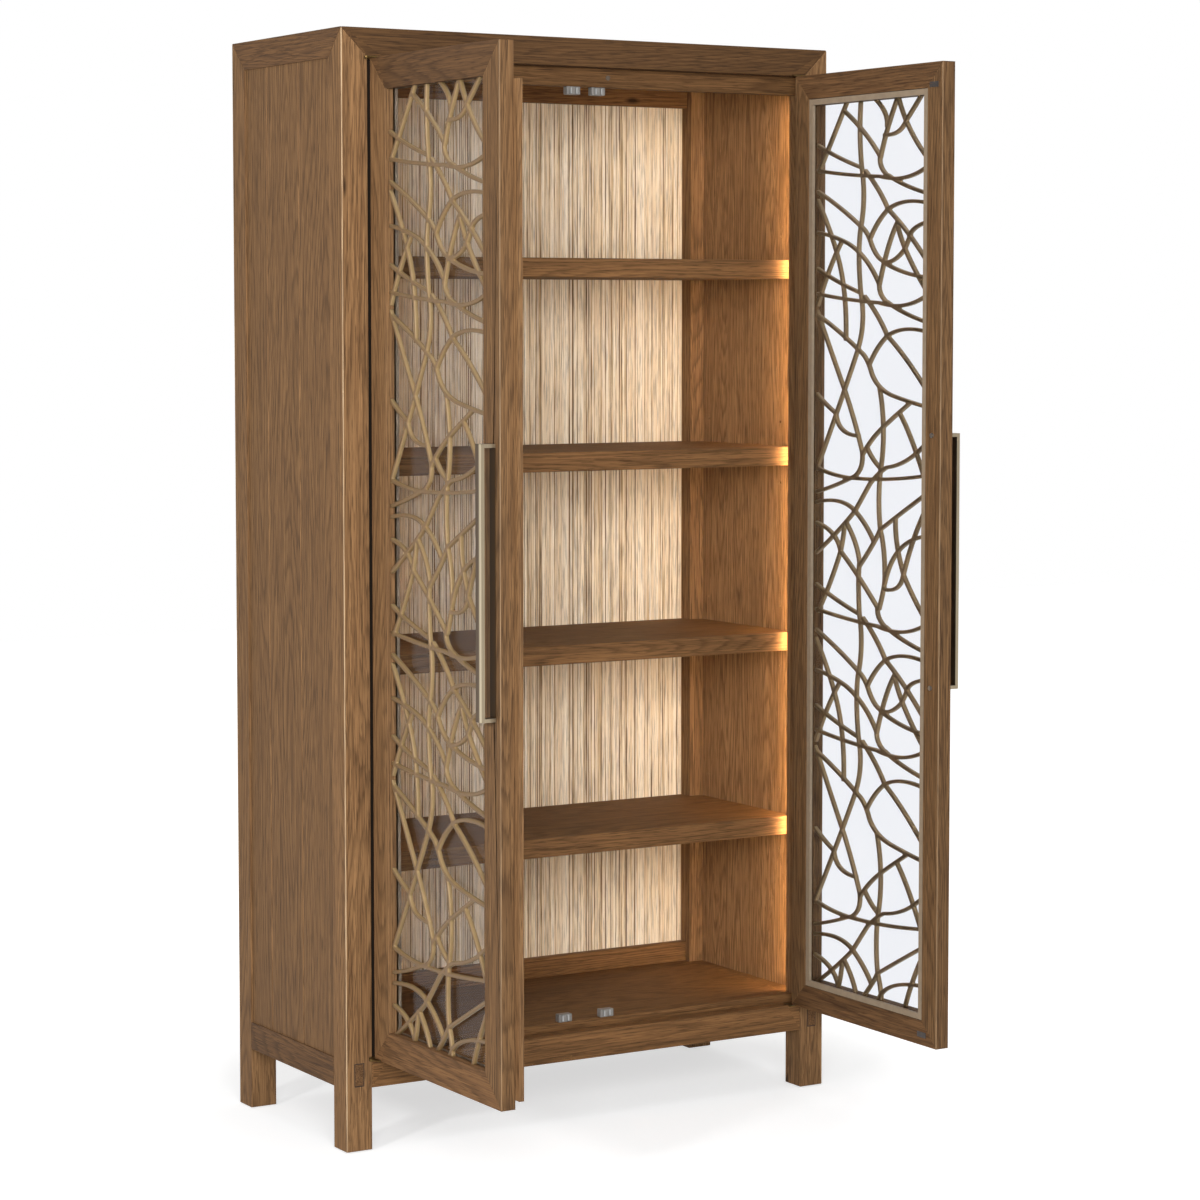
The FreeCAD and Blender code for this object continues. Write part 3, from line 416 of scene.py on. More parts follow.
zinc = brushed_metal("zinc_plated_steel", "#b4b4b2", "#8d8d8c", 0.4, 0.8, 6)
anodised = brushed_metal("anodised_aluminium", "#cfd0d2", "#b2b3b6", 0.42, 0.5, 150)
oxide = brushed_metal("dark_oxide_steel", "#6d6866", "#4f4b4a", 0.45, 0.8, 6)
aged_brass = brushed_metal("aged_brass", "#6f5a36", "#4c3c24", 0.45, 0.6, 10)
METAL_NODES = {
    zinc: ["back_screws", "shelf_pins", "catch_poles", "left_pull_screws", "right_pull_screws"],
    oxide: ["left_strike_plates", "right_strike_plates"],
    anodised: ["led_channels"],
    aged_brass: ["carcass_hinge_leaves", "left_door_hinge_leaves", "right_door_hinge_leaves"],
}
for finish, names in METAL_NODES.items():
    for node in names:
        finish_node(node, finish)
print("metals on", sum(len(names) for names in METAL_NODES.values()), "pieces")

# %% [markdown]
# The bar pulls are drawn brass with a champagne plating and a dark patina. A pale painted highlight
# lies on the front half of the outer face and, at half strength, on the front side, where a rounded
# bar would catch the light; the rest keeps the dark patina, which also paints the dark reflections
# on its sides. The surface's own direction and its place across the bar tell them apart.

# %% Plating on the pulls, with a painted highlight
PULL_LINE_MM, PULL_LINE_LENGTH_MM = 0.8, 90
PULL_GLOSS = (0.3, 0.45)
HIGHLIGHT_STARTS, HIGHLIGHT_IS_FULL = 0.1, -0.6
FRONT_HIGHLIGHT, LINE_HIGHLIGHT = 0.45, 0.3
PATINA_AND_PAINTED_REFLECTION, PAINTED_HIGHLIGHT = "#5a4b3c", "#c6b89c"
PULL_EDGE_MM, PULL_EDGE_RINGS = 2.6, 4


def plate_with_painted_highlight(middle, half):
    """Plating with a painted highlight, for a bar with its middle and half its depth here, front to back.
    """
    finish, tree, shader, lines = drawn_metal("champagne_plate_painted_highlight", PULL_LINE_MM,
                                              PULL_LINE_LENGTH_MM, *PULL_GLOSS)
    place = add_node(tree, "TexCoord").outputs
    facing = add_node(tree, "SeparateXYZ", {0: place["Normal"]}).outputs
    spot = add_node(tree, "SeparateXYZ", {0: place["Object"]}).outputs
    door = add_node(tree, "Math", {0: spot[0]}, operation="SIGN").outputs[0]
    outer = add_node(tree, "Math", {0: facing[0], 1: door}, operation="MULTIPLY").outputs[0]
    front_half = add_node(tree, "MapRange", {"Value": spot[1], "From Min": middle + HIGHLIGHT_STARTS * half,
                                             "From Max": middle + HIGHLIGHT_IS_FULL * half}).outputs[0]
    outer = add_node(tree, "Math", {0: outer, 1: front_half}, operation="MULTIPLY").outputs[0]
    front = add_node(tree, "Math", {0: facing[1], 1: -FRONT_HIGHLIGHT}, operation="MULTIPLY").outputs[0]
    highlight_reach = add_node(tree, "Math", {0: outer, 1: front}, operation="MAXIMUM").outputs[0]
    # The drawn lines add to the painted highlight.
    worn = add_node(tree, "Math", {0: lines, 1: LINE_HIGHLIGHT, 2: highlight_reach},
                    operation="MULTIPLY_ADD").outputs[0]
    share = add_node(tree, "MapRange", {"Value": worn, "From Min": LINE_HIGHLIGHT}).outputs[0]
    # Painted highlight over the dark patina, which also paints the dark reflections on the sides.
    tint = add_node(tree, "Mix", {0: share, MIX_FROM: linear(PATINA_AND_PAINTED_REFLECTION), MIX_TO: linear(PAINTED_HIGHLIGHT)},
                    data_type="RGBA")
    feed(tree, shader, {"Base Color": tint.outputs[MIXED]})
    return finish


pull_low, pull_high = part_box("left_pull")
champagne = plate_with_painted_highlight((pull_low.y + pull_high.y) / 2, (pull_high.y - pull_low.y) / 2)
for side in ("left", "right"):
    finish_node(side + "_pull", champagne)
    soften(side + "_pull", PULL_EDGE_MM, PULL_EDGE_RINGS)
print("pulls", round((pull_high.z - pull_low.z) / MM), "mm high")

# %% [markdown]
# ## Moulded plastics
# The catches are moulded in a grey plastic, the glazing bead is tan vinyl, and the glides, clips,
# driver, light tape, leads and sensor are common moulded parts. Moulding leaves a fine grit and a
# slight mottling in the colour, which one function gives, with its own gloss for each plastic. Real
# grit is about a tenth of a millimetre, too fine to show, so it is drawn coarser.

# %% Moulded plastics
MOTTLE_MM = 14
GRIT_DEPTH_MM = 0.08
MOTTLE_GLOSS = 0.06
PLASTIC_EDGE_MM = 1.2


def moulded(name, colour, shade, rough, grit_mm, shine=0.5):
    """A plastic or a coat with a mottled colour, a fine grit and this much shine."""
    finish, tree, shader = start_finish(name, {"Specular IOR Level": shine})
    place = add_node(tree, "TexCoord").outputs["Object"]
    mottle = add_node(tree, "TexNoise", {"Vector": place, "Scale": 1 / (MOTTLE_MM * MM),
                                         "Detail": 3.0}).outputs["Fac"]
    tint = add_node(tree, "Mix", {0: mottle, MIX_FROM: linear(shade), MIX_TO: linear(colour)},
                    data_type="RGBA")
    gloss = add_node(tree, "MapRange", {"Value": mottle, "To Min": rough - MOTTLE_GLOSS,
                                        "To Max": rough + MOTTLE_GLOSS})
    grit = add_node(tree, "TexNoise", {"Vector": place, "Scale": 1 / (grit_mm * MM), "Detail": 2.0})
    bump = add_node(tree, "Bump", {"Strength": 0.2, "Distance": GRIT_DEPTH_MM * MM,
                                   "Height": grit.outputs["Fac"]})
    feed(tree, shader, {"Base Color": tint.outputs[MIXED], "Roughness": gloss.outputs[0],
                        "Normal": bump.outputs[0]})
    return finish


PLASTICS = {
    "catch_bodies": moulded("grey_catch_plastic", "#8a8681", "#686460", 0.4, 0.8),
    "left_glass_bead": moulded("tan_vinyl_bead", "#968570", "#7d6d5a", 0.55, 1.0, shine=0.25),
    "foot_glides": moulded("black_nylon", "#2b2b2b", "#1f1f1f", 0.6, 0.7),
    "led_driver": moulded("white_driver_shell", "#dcdad5", "#cfccc6", 0.5, 0.9),
    "led_leads": moulded("black_pvc_lead", "#232323", "#191919", 0.45, 0.6),
    "led_tapes": moulded("white_light_tape", "#efece2", "#ddd9cc", 0.4, 0.6),
    "door_sensor": moulded("smoked_sensor_plastic", "#5c4c3c", "#46392c", 0.25, 0.6),
}
PLASTICS["right_glass_bead"] = PLASTICS["left_glass_bead"]
PLASTICS["lead_clips"] = PLASTICS["led_driver"]
for node, finish in PLASTICS.items():
    finish_node(node, finish)
for node in ("catch_bodies", "led_driver"):
    soften(node, PLASTIC_EDGE_MM)
print("plastics on", len(PLASTICS), "pieces")

# %% [markdown]
# ## Thin trim
# Three small things show as dark lines, each less than 3 mm thick: plates behind the pulls that
# paint the shadows of the bars, fins at the hinges that paint the shade in the gaps, and rings around
# the tenons that paint the shade at their edges. Each is a plain closed mesh, so a few helpers serve
# all of them: one hangs a mesh on a body of the cabinet, one gives the faces of an outline that is
# swept through a row of rings, and one draws an outline up to a height. The reeds and the twigs
# further down use the first two again.

# %% Helpers for new pieces
def hang(name, mesh, finish, body, slot, instead_of=None):
    """A piece with this mesh and finish that rides on a body, and may take a CAD node's place."""
    mesh.materials.clear()
    mesh.materials.append(finish)
    piece = bpy.data.objects.new(name, mesh)
    bpy.context.scene.collection.objects.link(piece)
    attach(piece, body)
    if instead_of:
        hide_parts(instead_of)


def swept_faces(first, steps, ring):
    """The sides and both ends of an outline of this many points, swept in steps from a first point."""
    faces = []
    for step in range(steps):
        for side in range(ring):
            here = first + step * ring + side
            beside = first + step * ring + (side + 1) % ring
            faces.append((here, beside, beside + ring, here + ring))
    faces.append(tuple(first + side for side in reversed(range(ring))))
    faces.append(tuple(first + steps * ring + side for side in range(ring)))
    return faces


def add_trim(name, points, faces, *where):
    """A closed mesh with its faces turned outwards, hung where it belongs."""
    mesh = bpy.data.meshes.new(name)
    mesh.from_pydata(points, [], faces)
    work = bmesh.new()
    work.from_mesh(mesh)
    bmesh.ops.recalc_face_normals(work, faces=work.faces)
    work.to_mesh(mesh)
    work.free()
    hang(name, mesh, *where)


def upright(name, plan, low_z, high_z, *where):
    """A bar with this outline in plan, from one height to another."""
    points = [(x, y, z) for z in (low_z, high_z) for x, y in plan]
    add_trim(name, points, swept_faces(0, 1, len(plan)), *where)


print("trim helpers ready")

# %% [markdown]
# A dark plate lies on the stile behind each bar pull, as wide as the pull and a little shorter: it
# paints the shadow that the bar casts on the stile. Its outer edges are chamfered, so that it
# catches no bright line.

# %% Plates behind the pulls, a painted shadow
PLATE_MM, PLATE_EDGE_MM, PLATE_END_MM = 0.8, 0.6, 7.0
# The dark finish of the plate paints the shadow of the pull bar.
pull_shadow_paint = moulded("dark_plate_painted_shadow", "#38260f", "#281a0a", 0.6, 0.8, shine=0.1)


def pull_shadow_plate(side, face, out):
    """A dark chamfered plate on a stile, the bar's painted shadow; out is the way it stands off, 1 or -1.
    """
    low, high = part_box(side + "_pull")
    edge, end = PLATE_EDGE_MM * MM, PLATE_END_MM * MM
    half_out, full_out = face + out * PLATE_MM * MM / 2, face + out * PLATE_MM * MM
    plan = [(face, low.y), (face, high.y), (half_out, high.y), (full_out, high.y - edge),
            (full_out, low.y + edge), (half_out, low.y)]
    upright(side + "_pull_shadow_plate", plan, low.z + end, high.z - end,
            pull_shadow_paint, side + "_door", "pull_metal")


pull_shadow_plate("left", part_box("left_meeting_stile")[0].x, -1)
pull_shadow_plate("right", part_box("right_meeting_stile")[1].x, 1)
print("two pull plates,", PLATE_MM, "mm thick")

# %% [markdown]
# A black rubber fin closes the gap between each front post and its door, and its dark colour paints
# the shade in that gap. It lies on the inner face of the post and bends past the front of it, just
# outside the circle that the door's edge sweeps. Its outline is given from the post's corner,
# inwards and then back, and it is the same from end to end.

# %% Fins at the hinges
FIN_PLAN_MM = ((0, 12), (0, 0), (1.5, -7.3), (2.0, -7.4), (2.3, -7.0), (1.2, 0.5), (1.2, 12))
FIN_END_MM = 4.0
# The near-black fin paints the shade in the gap between post and door.
rubber = moulded("black_fin_painted_gap_shade", "#17100a", "#0f0a06", 0.7, 0.8, shine=0.1)
left_post, right_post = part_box("front_left_post"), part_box("front_right_post")


def hinge_shade_fin(side, corner_x, corner_y, inward):
    """Painted gap shade: a fin at a post's inner front corner; inward, 1 or -1, is the way to the middle.
    """
    low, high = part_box(side + "_hinge_stile")
    plan = [(corner_x + inward * x * MM, corner_y + y * MM) for x, y in FIN_PLAN_MM]
    upright(side + "_hinge_shade_fin", plan, low.z + FIN_END_MM * MM, high.z - FIN_END_MM * MM,
            rubber, "carcass", "lead_rubber")


hinge_shade_fin("left", left_post[1].x, left_post[0].y, 1)
hinge_shade_fin("right", right_post[0].x, right_post[0].y, -1)
print("two fins with", len(FIN_PLAN_MM), "points in plan")

# %% [markdown]
# The side rails end in through tenons that stand a little proud of the front posts. A flat dark
# ring around each one paints the shade along the tenon's edges. The CAD mesh of the rail tells where
# the tenon is: its points in front of the post are the tenon's end.

# %% Lines around the tenons
JOINT_LINE_MM, JOINT_PROUD_MM, TENON_PROUD_MM = 1.5, 0.25, 0.5
# The dark ring paints the shade around the proud tenon.
tenon_shade_paint = moulded("painted_tenon_shade", "#2c1d10", "#1e130a", 0.8, 1.0)


def tenon_shade_ring(side, face):
    """A flat dark ring of painted shade on the face of a post, around the end of a rail's tenon."""
    rail = NODES[side + "_lower_rail"].data.vertices
    ends = [point.co for point in rail if point.co.y < face - TENON_PROUD_MM * MM]
    left, right = min(end.x for end in ends), max(end.x for end in ends)
    bottom, top = min(end.z for end in ends), max(end.z for end in ends)
    line, front = JOINT_LINE_MM * MM, face - JOINT_PROUD_MM * MM
    points = []
    for grow, y in ((line, front), (0, front), (0, face), (line, face)):
        points += [(left - grow, y, bottom - grow), (right + grow, y, bottom - grow),
                   (right + grow, y, top + grow), (left - grow, y, top + grow)]
    faces = []
    for ring in range(4):
        here, there = 4 * ring, 4 * ((ring + 1) % 4)
        faces += [(here + n, here + (n + 1) % 4, there + (n + 1) % 4, there + n) for n in range(4)]
    add_trim(side + "_tenon_shade_ring", points, faces, tenon_shade_paint, "carcass", "oak_frame")
    return (right - left) / MM, (top - bottom) / MM


for side in ("left", "right"):
    print(side, "tenon", [round(size, 1) for size in tenon_shade_ring(side, left_post[0].y)], "mm")

# %% [markdown]
# ## Glass and the light strips
# The doors hold clear float glass with an antireflective coat: the picture shows hardly any
# reflection in it. The pane's real thickness is in the CAD solid, so a clear shader is enough, and
# an index well below that of bare glass stands for the coat. The strips behind the front posts
# shine through opal acrylic, which here gives off a warm light of its own: that is what makes the
# orange glow at the ends of the shelves.

# %% Glass and opal acrylic
COATED_IOR = 1.12
WIPE_MM, WIPE_ROUGHNESS = 240, 0.006
HAZE_MM, GLOW = 30, 50.0


def float_glass():
    """Clear glass with a slow, faint change of tint and gloss, as a wiped pane has."""
    finish, tree, shader = start_finish("clear_float_glass",
                                        {"Transmission Weight": 1.0, "IOR": COATED_IOR})
    place = add_node(tree, "TexCoord").outputs["Object"]
    slow = add_node(tree, "TexNoise", {"Vector": place, "Scale": 1 / (WIPE_MM * MM),
                                       "Detail": 1.0}).outputs["Fac"]
    tint = add_node(tree, "Mix", {0: slow, MIX_FROM: linear("#f0f2f7"), MIX_TO: linear("#f4f5f9")},
                    data_type="RGBA")
    wipe = add_node(tree, "MapRange", {"Value": slow, "To Max": WIPE_ROUGHNESS})
    feed(tree, shader, {"Base Color": tint.outputs[MIXED], "Roughness": wipe.outputs[0]})
    return finish


def opal_acrylic():
    """Milky acrylic that glows warm, a little unevenly."""
    finish, tree, shader = start_finish("opal_acrylic_strip",
                                        {"Roughness": 0.45, "Emission Strength": GLOW})
    place = add_node(tree, "TexCoord").outputs["Object"]
    haze = add_node(tree, "TexNoise", {"Vector": place, "Scale": 1 / (HAZE_MM * MM),
                                       "Detail": 1.0}).outputs["Fac"]
    tint = add_node(tree, "Mix", {0: haze, MIX_FROM: linear("#f4e6cf"), MIX_TO: linear("#fbf1e0")},
                    data_type="RGBA")
    warm = add_node(tree, "Mix", {0: haze, MIX_FROM: linear("#ffd49a"), MIX_TO: linear("#ffdcaa")},
                    data_type="RGBA")
    feed(tree, shader, {"Base Color": tint.outputs[MIXED], "Emission Color": warm.outputs[MIXED]})
    return finish


glass = float_glass()
for node in ("left_glass", "right_glass"):
    finish_node(node, glass)
finish_node("led_diffusers", opal_acrylic())
print("two panes and the light strips finished")

# %% [markdown]
# ## Grasscloth
# The back is covered with grasscloth: split reeds and grass stalks laid upright, side by side, on
# paper. They differ in width and in colour, from cream to brown, and each one wanders a little. A
# flat sheet with painted stripes would look printed, so every reed is a small crowned strip of
# its own, and a value stored on its points says how pale it is.

# %% Lay the reeds
REED_SEED = 41
REED_MM = (1.2, 3.0)
REED_GAP_MM = 0.15
REED_STEPS = 40
DARK_SHARE, DARK_TONE, PALE_TONE = 0.14, (-0.05, 0.12), (0.25, 1.0)
TONE_KEPT, TONE_DRIFT = 0.6, 0.2
REED_WANDER_MM, WANDER_KEPT, WANDER_ADDED = 0.4, 0.7, 0.4
REED_CROWN_MM, REED_SHOULDER_MM, REED_SIDE_MM, REED_BACK_MM = 0.25, 0.1, -0.4, -0.78


def reed_outline(width):
    """Half-round front and flat back of one reed: across, and out from the cloth's face."""
    half = width / 2
    crown = [(-half, REED_SIDE_MM), (-half * 0.5, REED_SHOULDER_MM), (0.0, REED_CROWN_MM),
             (half * 0.5, REED_SHOULDER_MM), (half, REED_SIDE_MM)]
    return crown + [(half, REED_BACK_MM), (-half, REED_BACK_MM)]


def lay_reeds():
    """The mesh of all reeds, from the cloth's left edge to its right edge."""
    low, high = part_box("back_grasscloth")
    chance = random.Random(REED_SEED)
    points, faces, tones = [], [], []
    across = low.x
    while across < high.x - REED_MM[1] * MM:
        width = min(chance.uniform(*REED_MM), chance.uniform(*REED_MM))
        tone = chance.uniform(*PALE_TONE) if chance.random() > DARK_SHARE else chance.uniform(*DARK_TONE)
        outline = reed_outline(width - REED_GAP_MM)
        faces += swept_faces(len(points), REED_STEPS, len(outline))
        sway = drift = 0.0
        for step in range(REED_STEPS + 1):
            sway = WANDER_KEPT * sway + chance.uniform(-1, 1) * REED_WANDER_MM * WANDER_ADDED
            drift = TONE_KEPT * drift + chance.uniform(-TONE_DRIFT, TONE_DRIFT)
            height = low.z + (high.z - low.z) * step / REED_STEPS
            for aside, out in outline:
                x = min(max(across + (width / 2 + aside + sway) * MM, low.x), high.x)
                points.append((x, low.y - out * MM, height))
                tones.append(tone + drift)
        across += width * MM
    mesh = bpy.data.meshes.new("grasscloth_reeds")
    mesh.from_pydata(points, [], faces)
    mesh.attributes.new("reed_tone", "FLOAT", "POINT").data.foreach_set("value", tones)
    return mesh


reed_mesh = lay_reeds()
print("reeds with", len(reed_mesh.polygons), "faces")

# %% [markdown]
# Dried reed runs from brown to cream, and fine fibres darken it along its length. The fibres are
# drawn wider than real ones, which are too fine to show.

# %% Colour the reeds
FIBRE_MM, FIBRE_LENGTH_MM = 2.2, 45
FIBRE_RANGE, FIBRE_SHADE = (0.32, 0.52), (0.6, 1.04)
FIBRE_DEPTH_MM = 0.2
REED_ROUGHNESS = (0.6, 0.85)
REED_COLOURS = ((0.0, "#7a6040"), (0.14, "#bca27e"), (0.32, "#dfcbac"), (0.6, "#ebddc4"),
                (1.0, "#f5ecdc"))


def reed_finish():
    """Dried reed: its colour by the stored tone, shaded by its fibres."""
    finish, tree, shader = start_finish("dried_reed", {"Specular IOR Level": 0.3})
    tone = add_node(tree, "Attribute", attribute_name="reed_tone").outputs["Fac"]
    place = add_node(tree, "TexCoord").outputs["Object"]
    fibre = fibres(tree, place, FIBRE_MM, FIBRE_LENGTH_MM, 3.0)
    stops = [(pale, linear(code)) for pale, code in REED_COLOURS]
    reed = add_node(tree, "ValToRGB", {"Fac": tone}, stops=stops).outputs[0]
    fine = add_node(tree, "MapRange", {"Value": fibre, "From Min": FIBRE_RANGE[0],
                                       "From Max": FIBRE_RANGE[1], "To Min": FIBRE_SHADE[0],
                                       "To Max": FIBRE_SHADE[1]}).outputs[0]
    colour = add_node(tree, "VectorMath", {0: reed, "Scale": fine}, operation="SCALE").outputs[0]
    rough = add_node(tree, "MapRange", {"Value": fibre, "To Min": REED_ROUGHNESS[0],
                                        "To Max": REED_ROUGHNESS[1]}).outputs[0]
    bump = add_node(tree, "Bump", {"Strength": 0.4, "Distance": FIBRE_DEPTH_MM * MM, "Height": fibre})
    feed(tree, shader, {"Base Color": colour, "Roughness": rough, "Normal": bump.outputs[0]})
    return finish


hang("grasscloth_reeds", reed_mesh, reed_finish(), "carcass", "grasscloth", instead_of="back_grasscloth")
print("grasscloth hung on the carcass")

# %% [markdown]
# ## Twig lattice
# Each door is faced with a fret of twigs: bars about 7 mm wide and 9 mm deep, with rounded edges,
# that run into each other like roots. The CAD lattice has square edges. Here the same bends are
# drawn again, each from a start past a middle to an end. A door repeats one tile twice, and within a
# tile one row twice, and only the twigs at the top, at the seam of the tiles and at the foot differ.

# %% Bends of the lattice, in mm from the hinge side and from the top
TOP_TWIGS = (
    ((98, -9), (47, 64), (1, 128)), ((82, 14), (147, 57), (200, 105)),
    ((138, -8), (135, 59), (141, 122)), ((172, -9), (212, 22), (221, 52)),
    ((258, -8), (224, 52), (201, 108)), ((253, -9), (294, 61), (362, 126)),
    ((334, -8), (306, 19), (281, 42)), ((281, 42), (255, 62), (212, 66)),
)
ROW_TWIGS = (
    ((-25, 121), (85, 134), (200, 142)), ((200, 142), (285, 146), (362, 122)),
    ((-24, 65), (47, 95), (142, 124)), ((152, 129), (194, 166), (226, 204)),
    ((226, 204), (292, 252), (362, 316)), ((200, 103), (204, 125), (227, 143)),
    ((224, 140), (283, 162), (362, 181)), ((-24, 155), (59, 191), (139, 233)),
    ((139, 233), (160, 248), (176, 272)), ((362, 198), (287, 191), (227, 203)),
    ((227, 203), (195, 227), (168, 259)),
)
TILE_TWIGS = (
    ((141, 122), (148, 182), (138, 240)), ((138, 240), (134, 292), (140, 356)),
    ((140, 356), (147, 410), (134, 460)), ((172, 265), (218, 301), (277, 280)),
    ((277, 280), (290, 262), (297, 250)), ((292, 257), (313, 239), (362, 228)),
    ((256, 228), (226, 276), (199, 346)), ((255, 231), (290, 292), (362, 371)),
    ((211, 301), (282, 322), (362, 332)), ((-24, 240), (40, 249), (99, 265)),
    ((99, 265), (156, 297), (201, 345)), ((-20, 157), (30, 227), (63, 285)),
    ((63, 285), (87, 359), (93, 449)), ((81, 257), (39, 312), (-1, 382)),
    ((135, 460), (69, 577), (-3, 698)), ((-24, 356), (45, 470), (94, 549)),
    ((94, 549), (124, 605), (148, 658)), ((148, 658), (142, 690), (112, 709)),
    ((176, 508), (206, 536), (255, 552)), ((255, 552), (304, 561), (362, 570)),
    ((-24, 535), (20, 565), (62, 587)), ((62, 587), (84, 618), (139, 628)),
    ((202, 535), (215, 615), (206, 694)), ((206, 694), (202, 748), (207, 802)),
    ((207, 802), (219, 844), (222, 899)), ((300, 561), (249, 589), (206, 614)),
    ((206, 614), (175, 637), (149, 663)), ((263, 579), (309, 639), (362, 734)),
    ((362, 624), (297, 665), (226, 684)), ((226, 684), (199, 698), (172, 718)),
    ((172, 718), (148, 745), (125, 771)), ((125, 771), (56, 821), (-23, 870)),
    ((-21, 685), (30, 700), (99, 708)), ((99, 708), (226, 706), (362, 693)),
    ((-24, 744), (47, 728), (119, 706)), ((162, 648), (183, 670), (208, 687)),
    ((-25, 764), (63, 754), (125, 770)), ((125, 770), (161, 797), (188, 827)),
    ((362, 722), (283, 762), (206, 802)), ((206, 802), (184, 830), (141, 874)),
    ((-24, 796), (46, 814), (79, 850)), ((92, 796), (87, 823), (79, 850)),
    ((95, 792), (126, 830), (141, 868)),
)
SEAM_TWIGS = (
    ((79, 8), (137, 52), (204, 111)), ((79, 8), (43, 73), (4, 130)),
    ((141, 26), (138, 64), (141, 122)), ((222, 57), (216, 79), (204, 111)),
    ((255, -64), (260, -16), (281, 39)), ((362, -103), (316, -36), (281, 39)),
    ((362, -37), (272, -9), (222, 60)), ((281, 39), (261, 65), (219, 71)),
    ((281, 39), (314, 81), (362, 131)),
)
FOOT_TWIGS = (
    ((362, 724), (318, 797), (290, 864)), ((362, 801), (260, 816), (209, 852)),
)
TILE_MM, ROW_MM = 842, 235


def all_twigs():
    """Every bend on one door: two tiles of two rows, and the twigs of the top, the seam and the foot."""
    groups = [(0, TOP_TWIGS), (TILE_MM, SEAM_TWIGS), (TILE_MM, FOOT_TWIGS)]
    for tile in range(2):
        drop = tile * TILE_MM
        groups += [(drop, TILE_TWIGS), (drop, ROW_TWIGS), (drop + ROW_MM, ROW_TWIGS)]
    for drop, twigs in groups:
        for twig in twigs:
            yield [Vector((across, down + drop)) for across, down in twig]


print(sum(1 for twig in all_twigs()), "twigs on a door")

# %% [markdown]
# Each bend is swept with a rounded section. A curve object with a bevel could do that too, but a
# mesh keeps the section upright in the plane of the door. The bend passes through its middle point
# half way, so the point that it reaches for lies twice as far out.

# %% Sweep the twigs
TWIG_WIDTH_MM, TWIG_DEPTH_MM, TWIG_ROUND_MM = 7.0, 9.0, 1.9
CORNER_TURNS = (0, 30, 60, 90)
TWIG_STEP_MM, FEWEST_STEPS = 9, 6


def rounded_section():
    """Corner-rounded outline of a twig: aside, and in from the front."""
    half, deep, soft = TWIG_WIDTH_MM / 2, TWIG_DEPTH_MM, TWIG_ROUND_MM
    corners = [(half - soft, soft, -90), (half - soft, deep - soft, 0), (soft - half, deep - soft, 90),
               (soft - half, soft, 180)]
    outline = []
    for aside, inward, start in corners:
        for turn in CORNER_TURNS:
            angle = math.radians(start + turn)
            outline.append((aside + soft * math.cos(angle), inward + soft * math.sin(angle)))
    return outline


def swept_twigs():
    """One mesh of all the twigs of the left door, each a closed bar through its neighbours."""
    low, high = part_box("left_lattice")
    outline = rounded_section()
    points, faces = [], []
    for start, middle, end in all_twigs():
        reach = middle * 2 - (start + end) / 2
        steps = max(FEWEST_STEPS, int((end - start).length / TWIG_STEP_MM))
        faces += swept_faces(len(points), steps, len(outline))
        for step in range(steps + 1):
            share = step / steps
            spot = start * (1 - share) ** 2 + reach * 2 * share * (1 - share) + end * share ** 2
            along = ((reach - start) * (1 - share) + (end - reach) * share).normalized()
            for aside, inward in outline:
                across = spot.x - along.y * aside
                down = spot.y + along.x * aside
                points.append((low.x + inward * MM, high.y - across * MM, high.z - down * MM))
    mesh = bpy.data.meshes.new("swept_twigs")
    mesh.from_pydata(points, [], faces)
    return mesh


twig_mesh = swept_twigs()
print("swept twigs with", len(twig_mesh.polygons), "faces")

# %% [markdown]
# On the real fret, paint runs into the crossings and rounds them. A voxel remesh melts the swept
# bars into one skin in the same way, which joining them one by one would not do. Then the skin is
# smoothed and thinned, and the ends of the twigs are cut flush with the door frame.

# %% Melt the twigs together
VOXEL_MM = 1.25
SMOOTH_SHARE, SMOOTH_ROUNDS = 0.5, 2
KEEP_FACES = 0.3


def melted(mesh):
    """One closed skin over all the swept twigs, with softened crossings."""
    rough = bpy.data.objects.new("twig_sweep", mesh)
    bpy.context.scene.collection.objects.link(rough)
    remesh = rough.modifiers.new("melt", "REMESH")
    remesh.mode = "VOXEL"
    remesh.voxel_size = VOXEL_MM * MM
    smooth = rough.modifiers.new("soften", "SMOOTH")
    smooth.factor = SMOOTH_SHARE
    smooth.iterations = SMOOTH_ROUNDS
    thin = rough.modifiers.new("thin", "DECIMATE")
    thin.ratio = KEEP_FACES
    skin = bpy.data.meshes.new_from_object(rough.evaluated_get(bpy.context.evaluated_depsgraph_get()))
    bpy.data.objects.remove(rough)
    return skin


def trim_ends(mesh):
    """Cut the twigs flush with the four edges of the opening, close the cuts and count open edges."""
    low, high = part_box("left_lattice")
    work = bmesh.new()
    work.from_mesh(mesh)
    for corner, outward in ((low, (0, -1, 0)), (low, (0, 0, -1)), (high, (0, 1, 0)), (high, (0, 0, 1))):
        parts = [*work.verts, *work.edges, *work.faces]
        bmesh.ops.bisect_plane(work, geom=parts, plane_co=corner, plane_no=outward, clear_outer=True)
        bmesh.ops.holes_fill(work, edges=[edge for edge in work.edges if edge.is_boundary])
    bmesh.ops.recalc_face_normals(work, faces=work.faces)
    for face in work.faces:
        face.smooth = True
    work.to_mesh(mesh)
    open_edges = sum(1 for edge in work.edges if not edge.is_manifold)
    work.free()
    return open_edges


left_skin = melted(twig_mesh)
print("lattice faces", len(left_skin.polygons), "open edges", trim_ends(left_skin))

# %% [markdown]
# The fret is lacquered in an antiqued bronze. The sides of the bars are painted a paler gold, as
# sides lit by the lamps look, and the fronts and backs a darker brown, a painted shade. The side is
# known from the surface's own direction in the door, so it stays where it is when the door swings.
# A rubbed noise keeps either colour from being flat, and a bump shows the strokes of the brush.

# %% Bronze lacquer
RUB_MM, RUB_SPREAD, LIT_SIDE_RANGE = 18, 0.5, (0.55, 1.15)
LACQUER_ROUGHNESS = (0.38, 0.6)
STROKE_MM, STROKE_DEPTH_MM = 2.5, 0.3


